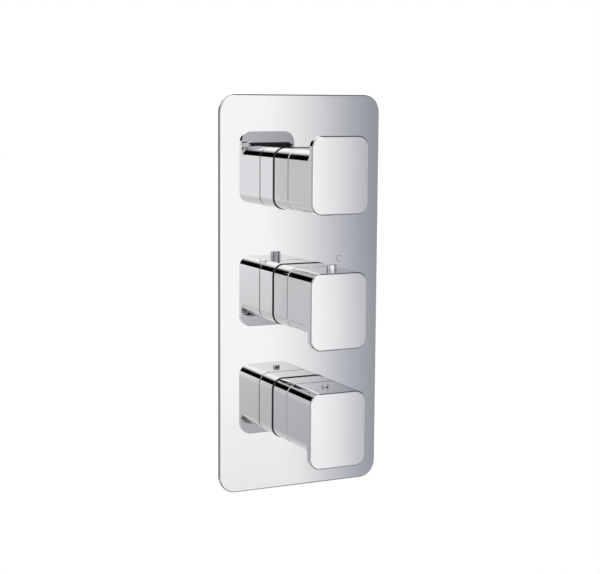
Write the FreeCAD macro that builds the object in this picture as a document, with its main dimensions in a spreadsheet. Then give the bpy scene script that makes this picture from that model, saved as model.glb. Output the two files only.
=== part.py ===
import FreeCAD, Part

import math
import os
from types import SimpleNamespace

import Sketcher

# Concealed thermostatic shower valve: a chrome faceplate with three square
# handles in front of the wall, and a cast brass valve body behind it.
#
# X is to the right, Z is up and the handles point to -Y.  The origin is where
# the axis of the temperature handle crosses the wall face, which is the back
# of the faceplate.  "Depth" is measured along +Y, into the wall, and "reach"
# along -Y, out of the wall.

# ---------------------------------------------------------------------------
# Driving dimensions, in millimetres and degrees
# ---------------------------------------------------------------------------

DIMENSIONS = {
    # faceplate and its gasket
    "plate_wide": 133.0,
    "plate_high": 300.0,
    "plate_thick": 3.0,
    "plate_corner": 13.0,
    "plate_edge": 1.2,
    "plate_hole_r": 18.2,
    "seal_inset": 5.0,
    "seal_wide": 6.0,
    "seal_thick": 1.5,
    # the three handle axes
    "axis_pitch": 87.5,
    # square sleeves
    "handle_wide": 45.7,
    "handle_corner": 8.5,
    "gasket_thick": 0.5,
    "gasket_inset": 0.4,
    "sleeve_reach": 27.5,
    "sleeve_bore_r": 17.6,
    "sleeve_groove_r": 19.3,
    "sleeve_groove_wide": 2.2,
    "sleeve_ring_reach": 14.0,
    "seam_edge": 0.4,
    "tube_r": 17.5,
    "tube_bore_r": 15.5,
    "tube_reach": 23.0,
    "tube_depth": 11.0,
    # knobs, measured as reach from the wall
    "knob_back": 28.1,
    "knob_reach": 68.0,
    "lip_thick": 5.0,
    "lip_drop": 33.6,
    "lip_blend": 3.0,
    "face_edge": 1.2,
    "cavity_r": 18.0,
    "cavity_reach": 57.0,
    "boss_r": 7.6,
    "boss_back": 36.8,
    "insert_r": 5.9,
    "insert_reach": 55.0,
    "grub_reach": 45.7,
    "grub_hole_r": 2.5,
    "grub_hole_floor": 12.0,
    "grub_thread_r": 2.1,
    "grub_post_wide": 8.6,
    # spline adaptor and splines
    "adaptor_r": 5.85,
    "adaptor_bore_r": 4.05,
    "adaptor_back": 37.0,
    "adaptor_reach": 54.8,
    "spline_r": 4.0,
    "spline_back": 37.0,
    "spline_reach": 53.0,
    "spline_deep": 0.5,
    "spline_count": 20.0,
    # grub screw
    "grub_r": 2.0,
    "grub_long": 6.0,
    "grub_key": 2.0,
    "grub_key_deep": 2.5,
    # stop button, latch and stop ring
    "button_r": 4.0,
    "button_hole_r": 4.15,
    "button_reach": 51.5,
    "button_side": 1.4,
    "button_top": 27.35,
    "button_edge": 0.6,
    "latch_bottom": 12.4,
    "latch_top": 16.2,
    "latch_wide": 10.0,
    "latch_long": 9.0,
    "arm_top": 14.4,
    "arm_wide": 5.0,
    "arm_reach": 10.0,
    "stop_ring_r": 9.0,
    "stop_lug_r": 13.9,
    "stop_ring_front": 13.5,
    "stop_ring_thick": 4.0,
    "stop_lug_start": 166.5,
    "stop_lug_end": 283.5,
    # headwork of the flow cartridges, measured as depth from the wall
    "nose_r": 7.5,
    "nose_front": 14.0,
    "nose_end": 3.0,
    "headwork_bore_r": 4.6,
    "hex_across": 22.0,
    "hex_end": 11.0,
    "thread_r": 10.9,
    "thread_end": 24.0,
    "cage_r": 9.6,
    "cage_bore_r": 8.55,
    "cage_step": 28.0,
    "cage_end": 41.0,
    "window_wide": 10.0,
    "window_start": 29.5,
    "window_end": 33.8,
    "key_wide": 3.0,
    # flow spindle
    "shaft_r": 3.9,
    "stem_r": 4.5,
    "stem_front": 16.0,
    "flange_r": 8.2,
    "flange_start": 28.2,
    "flange_end": 30.4,
    "tang_end": 32.6,
    "tang_wide": 3.0,
    "tang_inner": 4.5,
    "tang_outer": 7.5,
    "ring_groove_wide": 2.0,
    "stem_ring_floor": 3.05,
    "stem_ring_depth": 5.0,
    "circlip_floor": 3.3,
    "circlip_r": 6.0,
    "circlip_front": 15.3,
    "circlip_thick": 1.0,
    # ceramic discs and seal
    "disc_r": 8.3,
    "disc_start": 30.6,
    "disc_end": 34.0,
    "moon_r": 6.3,
    "moon_offset": 0.8,
    "fixed_disc_r": 8.4,
    "fixed_disc_start": 34.05,
    "fixed_disc_end": 37.5,
    "seal_bore_r": 5.8,
    # thermostatic cartridge: head and nut
    "head_r": 12.0,
    "head_step": 2.5,
    "head_bore_r": 5.0,
    "head_chamber_r": 9.0,
    "head_chamber": 6.5,
    "head_end": 26.0,
    "keyway_r": 10.0,
    "keyway_wide": 3.4,
    "nut_bore_r": 12.2,
    "nut_nose_r": 15.4,
    "nut_nose_front": 3.0,
    "nut_flange_r": 20.5,
    "nut_flange_start": 11.2,
    "nut_thread_r": 17.1,
    "nut_thread_end": 20.5,
    # thermostatic spindle
    "warm_stem_r": 4.9,
    "warm_flange_r": 8.0,
    "warm_flange_start": 6.7,
    "warm_flange_end": 8.5,
    "screw_r": 5.6,
    "screw_end": 22.0,
    "warm_ring_floor": 3.4,
    "warm_ring_depth": 1.0,
    # pressure cup, overload spring, washer
    "cup_r": 8.7,
    "cup_front": 10.5,
    "cup_thread_r": 6.0,
    "cup_web_start": 23.1,
    "cup_web_end": 25.1,
    "cup_chamber_r": 7.3,
    "cup_end": 34.5,
    "cup_key_r": 9.6,
    "cup_key_wide": 2.6,
    "cup_key_end": 20.0,
    "overload_mean_r": 5.7,
    "overload_wire_r": 0.7,
    "overload_turns": 2.5,
    "washer_r": 7.0,
    "washer_start": 31.9,
    "washer_end": 33.5,
    # wax element and shuttle
    "mix_depth": 40.0,
    "wax_pin_r": 1.6,
    "wax_collar_r": 4.6,
    "wax_collar_start": 37.5,
    "wax_collar_end": 40.5,
    "wax_bulb_r": 3.9,
    "wax_bulb_end": 51.5,
    "shuttle_r": 11.2,
    "shuttle_half": 4.0,
    "shuttle_rim_r": 9.4,
    "shuttle_hub_r": 6.0,
    "shuttle_bore_r": 4.65,
    "shuttle_web_start": 38.5,
    "shuttle_web_end": 40.5,
    "shuttle_hole_r": 1.3,
    "shuttle_hole_at": 7.7,
    "shuttle_hole_count": 4.0,
    "shuttle_groove_r": 10.2,
    "shuttle_groove_wide": 1.6,
    "return_mean_r": 7.0,
    "return_wire_r": 0.6,
    "return_turns": 4.0,
    # cartridge housing
    "housing_r": 16.4,
    "housing_flange_r": 17.0,
    "housing_front": 20.7,
    "housing_flange_end": 23.0,
    "housing_thread_r": 12.1,
    "seat_bore_r": 10.2,
    "housing_bore_r": 11.45,
    "seat_gap": 5.0,
    "housing_end": 53.0,
    "port_wide": 7.0,
    "port_long": 3.5,
    "port_count": 3.0,
    "housing_groove_r": 15.6,
    "housing_groove_wide": 2.0,
    "housing_ring_spread": 9.5,
    "cap_end": 55.5,
    "cap_bore_r": 5.6,
    "screen_r": 16.95,
    "screen_bore_r": 16.45,
    "screen_long": 6.4,
    "screen_slot_wide": 2.4,
    "screen_slot_long": 4.6,
    "screen_slot_count": 5.0,
    # cast valve body
    "flow_socket_r": 18.5,
    "flow_socket_front": 14.0,
    "flow_socket_end": 50.0,
    "socket_nose_r": 15.4,
    "socket_nose_front": 3.0,
    "socket_well_r": 13.3,
    "socket_bore_r": 11.0,
    "socket_floor": 41.8,
    "axial_bore_r": 6.0,
    "warm_socket_r": 21.0,
    "warm_socket_front": 14.5,
    "warm_socket_floor": 55.5,
    "warm_socket_end": 58.5,
    "warm_bore_r": 17.2,
    "mixed_bore_r": 8.0,
    "duct_depth": 66.0,
    "duct_r": 9.5,
    "duct_bore_r": 7.0,
    "rib_wide": 10.0,
    "rib_front": 20.0,
    "inlet_end": 43.0,
    "port_boss_r": 12.0,
    "port_hex_across": 25.0,
    "port_hex_long": 10.0,
    "port_thread_r": 9.35,
    "port_thread_long": 11.0,
    "check_bore_r": 7.5,
    "check_floor": 19.0,
    "side_port_r": 3.0,
    "side_port_shift": 4.6,
    "outlet_depth": 32.0,
    "outlet_end": 132.0,
    "outlet_bore_r": 6.5,
    "ear_z": 43.75,
    "ear_high": 16.0,
    "ear_wide": 40.0,
    "ear_front": 62.0,
    "back_face": 76.0,
    "bracket_screw_x": 13.5,
    "bracket_screw_r": 2.1,
    "bracket_screw_deep": 8.0,
    # check valves, measured outwards from the valve's centre line
    "check_r": 7.45,
    "check_outer": 31.9,
    "check_inner": 20.6,
    "check_seat": 30.3,
    "check_seat_r": 4.2,
    "check_cavity_r": 5.6,
    "spider_outer": 22.2,
    "spider_bore_r": 1.4,
    "spider_hole_r": 1.2,
    "spider_hole_at": 3.2,
    "spider_hole_count": 3.0,
    "poppet_r": 5.0,
    "poppet_thick": 1.2,
    "poppet_stem_r": 1.1,
    "poppet_stem_end": 21.7,
    "check_mean_r": 4.6,
    "check_wire_r": 0.3,
    "check_turns": 3.0,
    # stop spring
    "stop_mean_r": 2.4,
    "stop_wire_r": 0.25,
    "stop_turns": 3.0,
    # wall bracket
    "bracket_wide": 58.0,
    "bracket_high": 132.0,
    "bracket_thick": 2.5,
    "bracket_corner": 5.0,
    "fixing_x": 22.0,
    "fixing_z": 58.0,
    "fixing_r": 2.75,
    "bracket_window_wide": 18.0,
    "bracket_window_high": 52.0,
    "countersink": 1.9,
    # small gaps: between cut faces, and round the rings that turn or slide
    "slack": 0.1,
    "ring_gap": 0.05,
}

DOC = FreeCAD.newDocument("shower_valve")
SHEET = DOC.addObject("Spreadsheet::Sheet", "dims")
PIECES = []


class Size:
    """A length known as a number and as an expression over the sheet."""

    def __init__(self, value, text=None):
        self.value = float(value)
        self.text = text if text else f"{self.value:g}"

    def __add__(self, other):
        other = as_size(other)
        return Size(self.value + other.value, f"({self.text} + {other.text})")

    def __sub__(self, other):
        other = as_size(other)
        return Size(self.value - other.value, f"({self.text} - {other.text})")

    def __mul__(self, factor):
        return Size(self.value * factor, f"({self.text} * {factor:.9g})")

    def __truediv__(self, divisor):
        return Size(self.value / divisor, f"({self.text} / {divisor:.9g})")

    def __neg__(self):
        return Size(-self.value, f"(0 - {self.text})")


def as_size(length):
    return length if isinstance(length, Size) else Size(length)


def fill_sheet():
    """Write the driving dimensions to the sheet and name each cell."""
    for row, (name, value) in enumerate(DIMENSIONS.items(), 1):
        SHEET.set(f"A{row}", f"{value:g}")
        SHEET.set(f"B{row}", name.replace("_", " "))
        SHEET.setAlias(f"A{row}", name)
    DOC.recompute()
    return SimpleNamespace(**{n: Size(v, f"dims.{n}") for n, v in DIMENSIONS.items()})


D = fill_sheet()

UPPER, MIDDLE, LOWER = D.axis_pitch, Size(0), -D.axis_pitch
HALF_TURN = FreeCAD.Rotation(FreeCAD.Vector(0, 1, 0), 180)
UNTURNED = FreeCAD.Rotation()
AXIS_TO_Y = FreeCAD.Rotation(FreeCAD.Vector(1, 0, 0), -90)
TO_RIGHT = FreeCAD.Rotation(FreeCAD.Vector(0, 0, 1), -90)
TO_LEFT = FreeCAD.Rotation(FreeCAD.Vector(0, 0, 1), 90)


# ---------------------------------------------------------------------------
# Sketch and feature helpers
# ---------------------------------------------------------------------------

def bind(thing, path, length):
    thing.setExpression(path, as_size(length).text)


def place(thing, rotation=UNTURNED, **base):
    """Turn a piece and bind the coordinates of its place to the sheet."""
    thing.Placement = FreeCAD.Placement(FreeCAD.Vector(0, 0, 0), rotation)
    for axis, length in base.items():
        bind(thing, f"Placement.Base.{axis}", length)


def keep(piece, label):
    """Register a finished piece under its own name."""
    piece.Label = label
    PIECES.append(piece)
    return piece


def new_body(label, rotation=UNTURNED, **base):
    body = DOC.addObject("PartDesign::Body", label)
    place(body, rotation, **base)
    return keep(body, label)


def sketch_on(body, plane, offset=0):
    """A sketch parallel to one of the body's origin planes.

    XY sketches look along -Z, YZ sketches along -X and XZ sketches along +Y,
    so an XZ sketch moves out of the wall as its offset grows.
    """
    sketch = body.newObject("Sketcher::SketchObject", "Sketch")
    support = next(f for f in body.Origin.OriginFeatures if f.Role == plane)
    sketch.AttachmentSupport = [(support, "")]
    sketch.MapMode = "FlatFace"
    bind(sketch, "AttachmentOffset.Base.z", offset)
    return sketch


def pin_point(sketch, geometry, point, x, y):
    """Tie a point of the sketch to the sheet, through both coordinates."""
    for kind, axis, length in (("DistanceX", -2, x), ("DistanceY", -1, y)):
        length = as_size(length)
        if length.value == 0 and length.text == "0":
            sketch.addConstraint(Sketcher.Constraint("PointOnObject", geometry, point, axis))
            continue
        constraint = Sketcher.Constraint(kind, -1, 1, geometry, point, length.value)
        index = sketch.addConstraint(constraint)
        sketch.setExpression(f"Constraints[{index}]", length.text)


def outline(sketch, points):
    """A closed outline of straight lines through the given corners."""
    first = sketch.GeometryCount
    corners = [FreeCAD.Vector(as_size(x).value, as_size(y).value, 0) for x, y in points]
    count = len(corners)
    sketch.addGeometry([Part.LineSegment(corners[i], corners[(i + 1) % count])
                        for i in range(count)])
    sketch.addConstraint([Sketcher.Constraint("Coincident", first + i, 2, first + (i + 1) % count, 1)
                          for i in range(count)])
    for i, (x, y) in enumerate(points):
        pin_point(sketch, first + i, 1, x, y)


def circle(sketch, x, y, radius):
    radius = as_size(radius)
    centre = FreeCAD.Vector(as_size(x).value, as_size(y).value, 0)
    index = sketch.addGeometry(Part.Circle(centre, FreeCAD.Vector(0, 0, 1), radius.value))
    pin_point(sketch, index, 3, x, y)
    size = sketch.addConstraint(Sketcher.Constraint("Radius", index, radius.value))
    sketch.setExpression(f"Constraints[{size}]", radius.text)


def box(sketch, left, right, bottom, top):
    outline(sketch, [(left, bottom), (right, bottom), (right, top), (left, top)])


def hexagon(sketch, x, y, across):
    """A regular hexagon with two flats parallel to the sketch's Y axis."""
    half, corner = as_size(across) / 2, as_size(across) / math.sqrt(3)
    x, y = as_size(x), as_size(y)
    outline(sketch, [(x + half, y + corner / 2), (x, y + corner), (x - half, y + corner / 2),
                     (x - half, y - corner / 2), (x, y - corner), (x + half, y - corner / 2)])


def half_moon(sketch, radius, offset):
    """The larger arc side of a circle above a chord."""
    reach = math.sqrt(radius.value ** 2 - offset.value ** 2)
    start = math.atan2(offset.value, reach)
    base = Part.Circle(FreeCAD.Vector(0, 0, 0), FreeCAD.Vector(0, 0, 1), radius.value)
    arc = sketch.addGeometry(Part.ArcOfCircle(base, start, math.pi - start))
    chord = sketch.addGeometry(Part.LineSegment(FreeCAD.Vector(-reach, offset.value, 0),
                                                FreeCAD.Vector(reach, offset.value, 0)))
    sketch.addConstraint([
        Sketcher.Constraint("Coincident", arc, 3, -1, 1),
        Sketcher.Constraint("Coincident", arc, 2, chord, 1),
        Sketcher.Constraint("Coincident", arc, 1, chord, 2),
        Sketcher.Constraint("Horizontal", chord),
    ])
    size = sketch.addConstraint(Sketcher.Constraint("Radius", arc, radius.value))
    sketch.setExpression(f"Constraints[{size}]", radius.text)
    size = sketch.addConstraint(Sketcher.Constraint("DistanceY", -1, 1, chord, 1, offset.value))
    sketch.setExpression(f"Constraints[{size}]", offset.text)


def pad(body, sketch, length, both_ways=False, backwards=False):
    feature = body.newObject("PartDesign::Pad", "Pad")
    feature.Profile = sketch
    feature.Midplane = both_ways
    feature.Reversed = backwards
    bind(feature, "Length", length)
    sketch.Visibility = False
    DOC.recompute()
    return feature


def checked_cut(body, feature):
    """Recompute a cut and make sure that it took material away."""
    before = feature.BaseFeature.Shape.Volume
    DOC.recompute()
    if feature.Shape.Volume >= before - 0.01:
        raise RuntimeError(f"{body.Label}: {feature.Name} cuts nothing")
    return feature


def pocket(body, sketch, length=None, both_ways=False, forwards=False):
    """Cut a sketch away: behind it, in front of it or through everything."""
    feature = body.newObject("PartDesign::Pocket", "Pocket")
    feature.Profile = sketch
    feature.Midplane = both_ways
    feature.Reversed = forwards
    if length is None:
        feature.Type = 1
    else:
        bind(feature, "Length", length)
    return checked_cut(body, feature)


def revolve(body, points, kind="Revolution"):
    """Turn an outline of (radius, depth) corners about the body's Y axis."""
    sketch = sketch_on(body, "XY_Plane")
    outline(sketch, points)
    feature = body.newObject(f"PartDesign::{kind}", kind)
    feature.Profile = sketch
    feature.ReferenceAxis = (sketch, ["V_Axis"])
    feature.Angle = 360
    sketch.Visibility = False
    if kind == "Groove":
        return checked_cut(body, feature)
    DOC.recompute()
    return feature


def groove(body, points):
    return revolve(body, points, "Groove")


def square_groove(body, floor, top, middle, wide):
    """A ring groove from radius floor to radius top, centred on a depth."""
    start, end = as_size(middle) - wide / 2, as_size(middle) + wide / 2
    groove(body, [(floor, start), (top, start), (top, end), (floor, end)])


def around(body, feature, count):
    """Repeat a feature round the body's Y axis."""
    pattern = body.newObject("PartDesign::PolarPattern", "Pattern")
    pattern.Originals = [feature]
    axis = next(f for f in body.Origin.OriginFeatures if f.Role == "Y_Axis")
    pattern.Axis = (axis, [""])
    pattern.Angle = 360
    bind(pattern, "Occurrences", count)
    body.Tip = pattern
    DOC.recompute()
    return pattern


def dress(body, kind, size, path, wanted):
    """Fillet or chamfer the edges of the body that a test picks out."""
    tip = body.Tip
    names = [f"Edge{i}" for i, edge in enumerate(tip.Shape.Edges, 1) if wanted(edge)]
    if not names:
        raise RuntimeError(f"{body.Label}: no edge to dress")
    feature = body.newObject(f"PartDesign::{kind}", kind)
    feature.Base = (tip, names)
    bind(feature, path, size)
    DOC.recompute()
    return feature


def fillet(body, radius, wanted):
    return dress(body, "Fillet", radius, "Radius", wanted)


def chamfer(body, size, wanted):
    return dress(body, "Chamfer", size, "Size", wanted)


def near(value, length):
    return abs(value - as_size(length).value) < 0.01


def runs_along(edge, axis):
    """True for a straight edge parallel to X (0), Y (1) or Z (2)."""
    if not isinstance(edge.Curve, (Part.Line, Part.LineSegment)):
        return False
    way = edge.Vertexes[1].Point - edge.Vertexes[0].Point
    return abs(way[axis]) > 0.999 * way.Length


def lies_at(edge, axis, length):
    """True when the whole edge lies in a plane across the given axis."""
    bounds = edge.BoundBox
    low = (bounds.XMin, bounds.YMin, bounds.ZMin)[axis]
    high = (bounds.XMax, bounds.YMax, bounds.ZMax)[axis]
    return near(low, length) and near(high, length)


def round_block(body, left, right, bottom, top, corner, start, end):
    """A block along the reach axis, from start to end, with round corners."""
    sketch = sketch_on(body, "XZ_Plane", start)
    box(sketch, left, right, bottom, top)
    pad(body, sketch, as_size(end) - start)
    fillet(body, corner, lambda edge: runs_along(edge, 1))


def o_ring(name, inner, outer, depth, axis_z, rotation=UNTURNED):
    """A rubber ring with a six-sided section between two radii."""
    body = DOC.addObject("PartDesign::Body", name)
    place(body, rotation, y=depth, z=axis_z)
    middle, section = (inner + outer) / 2, (outer - inner) / 2
    flat, point = section / math.sqrt(3), section * 2 / math.sqrt(3)
    revolve(body, [(inner, -flat), (inner, flat), (middle, point), (outer, flat),
                   (outer, -flat), (middle, -point)])
    return body


def group(label, members):
    """Several like solids that share one name."""
    compound = DOC.addObject("Part::Compound", label)
    compound.Links = members
    return keep(compound, label)


# ---------------------------------------------------------------------------
# Coil springs
# ---------------------------------------------------------------------------

def arc_from(start, heading, end):
    """The arc that leaves start along heading and arrives at end."""
    chord = end - start
    side = chord - heading * chord.dot(heading)
    side.normalize()
    radius = chord.Length ** 2 / (2 * chord.dot(side))
    centre = start + side * radius
    outward = (start - centre) + (end - centre)
    outward.normalize()
    return Part.Arc(start, centre + outward * radius, end).toShape()


def helix_wire(mean, pitch, turns):
    """A helix about Y as pairs of tangent arcs, two pairs to a turn."""
    slope = pitch / (2 * math.pi)

    def point(angle):
        return FreeCAD.Vector(mean * math.cos(angle), slope * angle, mean * math.sin(angle))

    def heading(angle):
        way = FreeCAD.Vector(-mean * math.sin(angle), slope, mean * math.cos(angle))
        return way.normalize()

    edges = []
    step = math.pi
    for half_turn in range(round(turns * 2)):
        start, end = point(half_turn * step), point((half_turn + 1) * step)
        leave, arrive = heading(half_turn * step), heading((half_turn + 1) * step)
        gap = end - start
        spread = 2 * (1 - leave.dot(arrive))
        pull = gap.dot(leave + arrive)
        reach = (math.sqrt(pull ** 2 + spread * gap.Length ** 2) - pull) / spread
        middle = (start + leave * reach + end - arrive * reach) * 0.5
        edges.append(arc_from(start, leave, middle))
        edges.append(arc_from(middle, middle_heading(edges[-1]), end))
    return Part.Wire(edges), point(0), heading(0)


def middle_heading(edge):
    way = edge.tangentAt(edge.LastParameter)
    return way.normalize()


def wire_section(radius, centre, way):
    """A hexagon round the wire's axis, which keeps the coil's faces few."""
    side = way.cross(FreeCAD.Vector(0, 1, 0)).normalize()
    top = side.cross(way)
    corners = [centre + (side * math.cos(turn) + top * math.sin(turn)) * radius
               for turn in (math.pi / 3 * i for i in range(6))]
    return Part.makePolygon(corners + corners[:1])


def spring(label, mean, wire, turns, start, end, rotation=UNTURNED, base=(0, 0, 0)):
    """An open coil spring along Y between two depths, wire faces included."""
    rise = end.value - start.value - 2 * wire.value
    path, foot, way = helix_wire(mean.value, rise / turns.value, turns.value)
    section = wire_section(wire.value, foot, way)
    coil = path.makePipeShell([section], True, False)
    piece = DOC.addObject("Part::Feature", label)
    piece.Shape = coil
    centre = FreeCAD.Vector(*(as_size(length).value for length in base))
    lead = rotation.multVec(FreeCAD.Vector(0, start.value + wire.value, 0))
    piece.Placement = FreeCAD.Placement(centre + lead, rotation)
    gap = rise / turns.value - 2 * wire.value
    print(f"{label}: least gap between turns {gap:.2f} mm")
    return keep(piece, label)


# ---------------------------------------------------------------------------
# In front of the wall
# ---------------------------------------------------------------------------

def build_faceplate():
    body = new_body("faceplate")
    half_wide, half_high = D.plate_wide / 2, D.plate_high / 2
    round_block(body, -half_wide, half_wide, -half_high, half_high, D.plate_corner,
                Size(0), D.plate_thick)
    fillet(body, D.plate_edge, lambda edge: lies_at(edge, 1, -D.plate_thick))
    holes = sketch_on(body, "XZ_Plane", D.plate_thick)
    for axis_z in (UPPER, MIDDLE, LOWER):
        circle(holes, 0, axis_z, D.plate_hole_r)
    pocket(body, holes)
    slot = sketch_on(body, "XZ_Plane")
    seal_outline(slot)
    pocket(body, slot, D.seal_thick, forwards=True)


def seal_outline(sketch):
    """The two rectangles of the gasket that runs round the plate's back."""
    for inset in (D.seal_inset, D.seal_inset + D.seal_wide):
        wide, high = D.plate_wide / 2 - inset, D.plate_high / 2 - inset
        box(sketch, -wide, wide, -high, high)


def build_faceplate_gasket():
    body = new_body("faceplate_gasket")
    ring = sketch_on(body, "XZ_Plane")
    seal_outline(ring)
    pad(body, ring, D.seal_thick)


def build_sleeve(label, axis_z):
    body = new_body(label, z=axis_z)
    half = D.handle_wide / 2
    back = D.plate_thick + D.gasket_thick
    round_block(body, -half, half, -half, half, D.handle_corner, back, D.sleeve_reach)
    chamfer(body, D.seam_edge, lambda edge: lies_at(edge, 1, -D.sleeve_reach))
    bore = sketch_on(body, "XZ_Plane", D.sleeve_reach)
    circle(bore, 0, 0, D.sleeve_bore_r)
    pocket(body, bore)
    square_groove(body, D.tube_r, D.sleeve_groove_r, -D.sleeve_ring_reach,
                  D.sleeve_groove_wide)


def build_sleeve_gaskets():
    """Thin black frames that seal each sleeve to the plate."""
    frames = []
    half = D.handle_wide / 2 - D.gasket_inset
    for axis_z in (UPPER, MIDDLE, LOWER):
        block = DOC.addObject("Part::Box", "gasket_block")
        bind(block, "Length", half * 2)
        bind(block, "Width", D.gasket_thick)
        bind(block, "Height", half * 2)
        place(block, x=-half, y=-(D.plate_thick + D.gasket_thick), z=axis_z - half)
        rounded = DOC.addObject("Part::Fillet", "gasket_corners")
        DOC.recompute()
        rounded.Base = block
        corner = D.handle_corner.value - D.gasket_inset.value
        rounded.Edges = [(i, corner, corner) for i, edge in enumerate(block.Shape.Edges, 1)
                         if runs_along(edge, 1)]
        hole = DOC.addObject("Part::Cylinder", "gasket_hole")
        bind(hole, "Radius", D.plate_hole_r)
        bind(hole, "Height", D.plate_thick * 2)
        place(hole, AXIS_TO_Y, y=-D.plate_thick * 2, z=axis_z)
        frame = DOC.addObject("Part::Cut", "gasket_frame")
        frame.Base = rounded
        frame.Tool = hole
        frames.append(frame)
    group("sleeve_gaskets", frames)


def build_sleeve_o_rings():
    group("sleeve_o_rings", [o_ring("sleeve_ring", D.tube_r, D.sleeve_groove_r,
                                    -D.sleeve_ring_reach, axis_z)
                             for axis_z in (UPPER, MIDDLE, LOWER)])


def build_shroud_tubes():
    """Brass tubes that carry the sleeves through the plate's holes."""
    tubes = []
    for axis_z in (UPPER, MIDDLE, LOWER):
        outer = DOC.addObject("Part::Cylinder", "tube_outer")
        inner = DOC.addObject("Part::Cylinder", "tube_inner")
        for cylinder, radius, extra in ((outer, D.tube_r, Size(0)), (inner, D.tube_bore_r, Size(2))):
            bind(cylinder, "Radius", radius)
            bind(cylinder, "Height", D.tube_reach + D.tube_depth + extra)
            place(cylinder, AXIS_TO_Y, y=-D.tube_reach - extra / 2, z=axis_z)
        tube = DOC.addObject("Part::Cut", "tube")
        tube.Base = outer
        tube.Tool = inner
        tubes.append(tube)
    group("shroud_tubes", tubes)


def build_knob(label, rotation, axis_z, has_button):
    """A die-cast knob: square shell, finger lip, splined boss, screw post.

    The lip starts as an oversize blank, so that the blend in front of the
    shell runs round its corners; the trim then cuts both to the outline.
    """
    body = new_body(label, rotation, z=axis_z)
    half = D.handle_wide / 2
    lip_back = D.knob_reach - D.lip_thick
    round_block(body, -half, half, -half, half, D.handle_corner, D.knob_back, lip_back)
    blank = sketch_on(body, "XZ_Plane", lip_back)
    spare = half + D.lip_blend + 2
    box(blank, -spare, spare, -D.lip_drop - 2, spare)
    pad(body, blank, D.lip_thick)
    fillet(body, D.lip_blend, lambda edge: is_inner_corner(edge, half, lip_back))
    trim = sketch_on(body, "XZ_Plane", D.knob_reach)
    box(trim, -spare * 2, spare * 2, -spare * 2, spare * 2)
    rounded_box(trim, -half, half, -D.lip_drop, half, D.handle_corner)
    pocket(body, trim, D.lip_thick + D.lip_blend)
    fillet(body, D.face_edge, lambda edge: lies_at(edge, 1, -D.knob_reach))
    chamfer(body, D.seam_edge, lambda edge: lies_at(edge, 1, -D.knob_back))
    cut_knob_inside(body)
    side = -1 if has_button else 1
    add_screw_post(body, side)
    if has_button:
        hole = sketch_on(body, "XY_Plane", D.boss_r + 2)
        circle(hole, D.button_side, -D.button_reach, D.button_hole_r)
        pocket(body, hole, forwards=True)


def is_inner_corner(edge, half, lip_back):
    """The outline of the square shell where it meets the face's blank."""
    bounds = edge.BoundBox
    reach = max(bounds.XMax, -bounds.XMin, bounds.ZMax, -bounds.ZMin)
    return lies_at(edge, 1, -lip_back) and reach < half.value + 0.1


def rounded_box(sketch, left, right, bottom, top, radius):
    """A rectangle with round corners, held by its sides and one radius."""
    sides = [as_size(length) for length in (left, right, bottom, top)]
    x0, x1, y0, y1 = (length.value for length in sides)
    r = radius.value
    up = FreeCAD.Vector(0, 0, 1)
    quarter = math.pi / 2
    corners = [(x1 - r, y0 + r, 3), (x1 - r, y1 - r, 0), (x0 + r, y1 - r, 1), (x0 + r, y0 + r, 2)]
    lines = [((x0 + r, y0), (x1 - r, y0)), ((x1, y0 + r), (x1, y1 - r)),
             ((x1 - r, y1), (x0 + r, y1)), ((x0, y1 - r), (x0, y0 + r))]
    first = sketch.GeometryCount
    for (start, end), (cx, cy, turn) in zip(lines, corners):
        sketch.addGeometry(Part.LineSegment(FreeCAD.Vector(*start, 0), FreeCAD.Vector(*end, 0)))
        base = Part.Circle(FreeCAD.Vector(cx, cy, 0), up, r)
        sketch.addGeometry(Part.ArcOfCircle(base, turn * quarter, (turn + 1) * quarter))
    rules = []
    for i in range(4):
        line, arc, after = first + 2 * i, first + 2 * i + 1, first + (2 * i + 2) % 8
        rules.append(Sketcher.Constraint("Tangent", line, 2, arc, 1))
        rules.append(Sketcher.Constraint("Tangent", arc, 2, after, 1))
        rules.append(Sketcher.Constraint("Horizontal" if i % 2 == 0 else "Vertical", line))
        if i:
            rules.append(Sketcher.Constraint("Equal", first + 1, arc))
    sketch.addConstraint(rules)
    size = sketch.addConstraint(Sketcher.Constraint("Radius", first + 1, r))
    sketch.setExpression(f"Constraints[{size}]", radius.text)
    for line, kind, length in ((0, "DistanceY", sides[2]), (2, "DistanceX", sides[1]),
                               (4, "DistanceY", sides[3]), (6, "DistanceX", sides[0])):
        rule = Sketcher.Constraint(kind, -1, 1, first + line, 1, length.value)
        size = sketch.addConstraint(rule)
        sketch.setExpression(f"Constraints[{size}]", length.text)


def cut_knob_inside(body):
    """Hollow the shell round its boss and bore the boss for the adaptor."""
    ring = sketch_on(body, "XZ_Plane", D.knob_back)
    circle(ring, 0, 0, D.cavity_r)
    circle(ring, 0, 0, D.boss_r)
    pocket(body, ring, D.cavity_reach - D.knob_back, forwards=True)
    for radius, end in ((D.boss_r + D.slack, D.boss_back), (D.insert_r, D.insert_reach)):
        core = sketch_on(body, "XZ_Plane", D.knob_back)
        circle(core, 0, 0, radius)
        pocket(body, core, end - D.knob_back, forwards=True)


def add_screw_post(body, side):
    """Join the boss to one wall and drill the post for the grub screw."""
    forwards = side > 0
    post = sketch_on(body, "XY_Plane", (D.boss_r - 1) * side)
    half = D.grub_post_wide / 2
    box(post, -half, half, -D.grub_reach - half, -D.grub_reach + half)
    pad(body, post, D.cavity_r - D.boss_r + 1.5, backwards=not forwards)
    for radius, floor in ((D.grub_hole_r, D.grub_hole_floor), (D.grub_thread_r, D.insert_r - 1)):
        hole = sketch_on(body, "XY_Plane", floor * side)
        circle(hole, 0, -D.grub_reach, radius)
        pocket(body, hole, D.handle_wide / 2, forwards=forwards)


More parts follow.
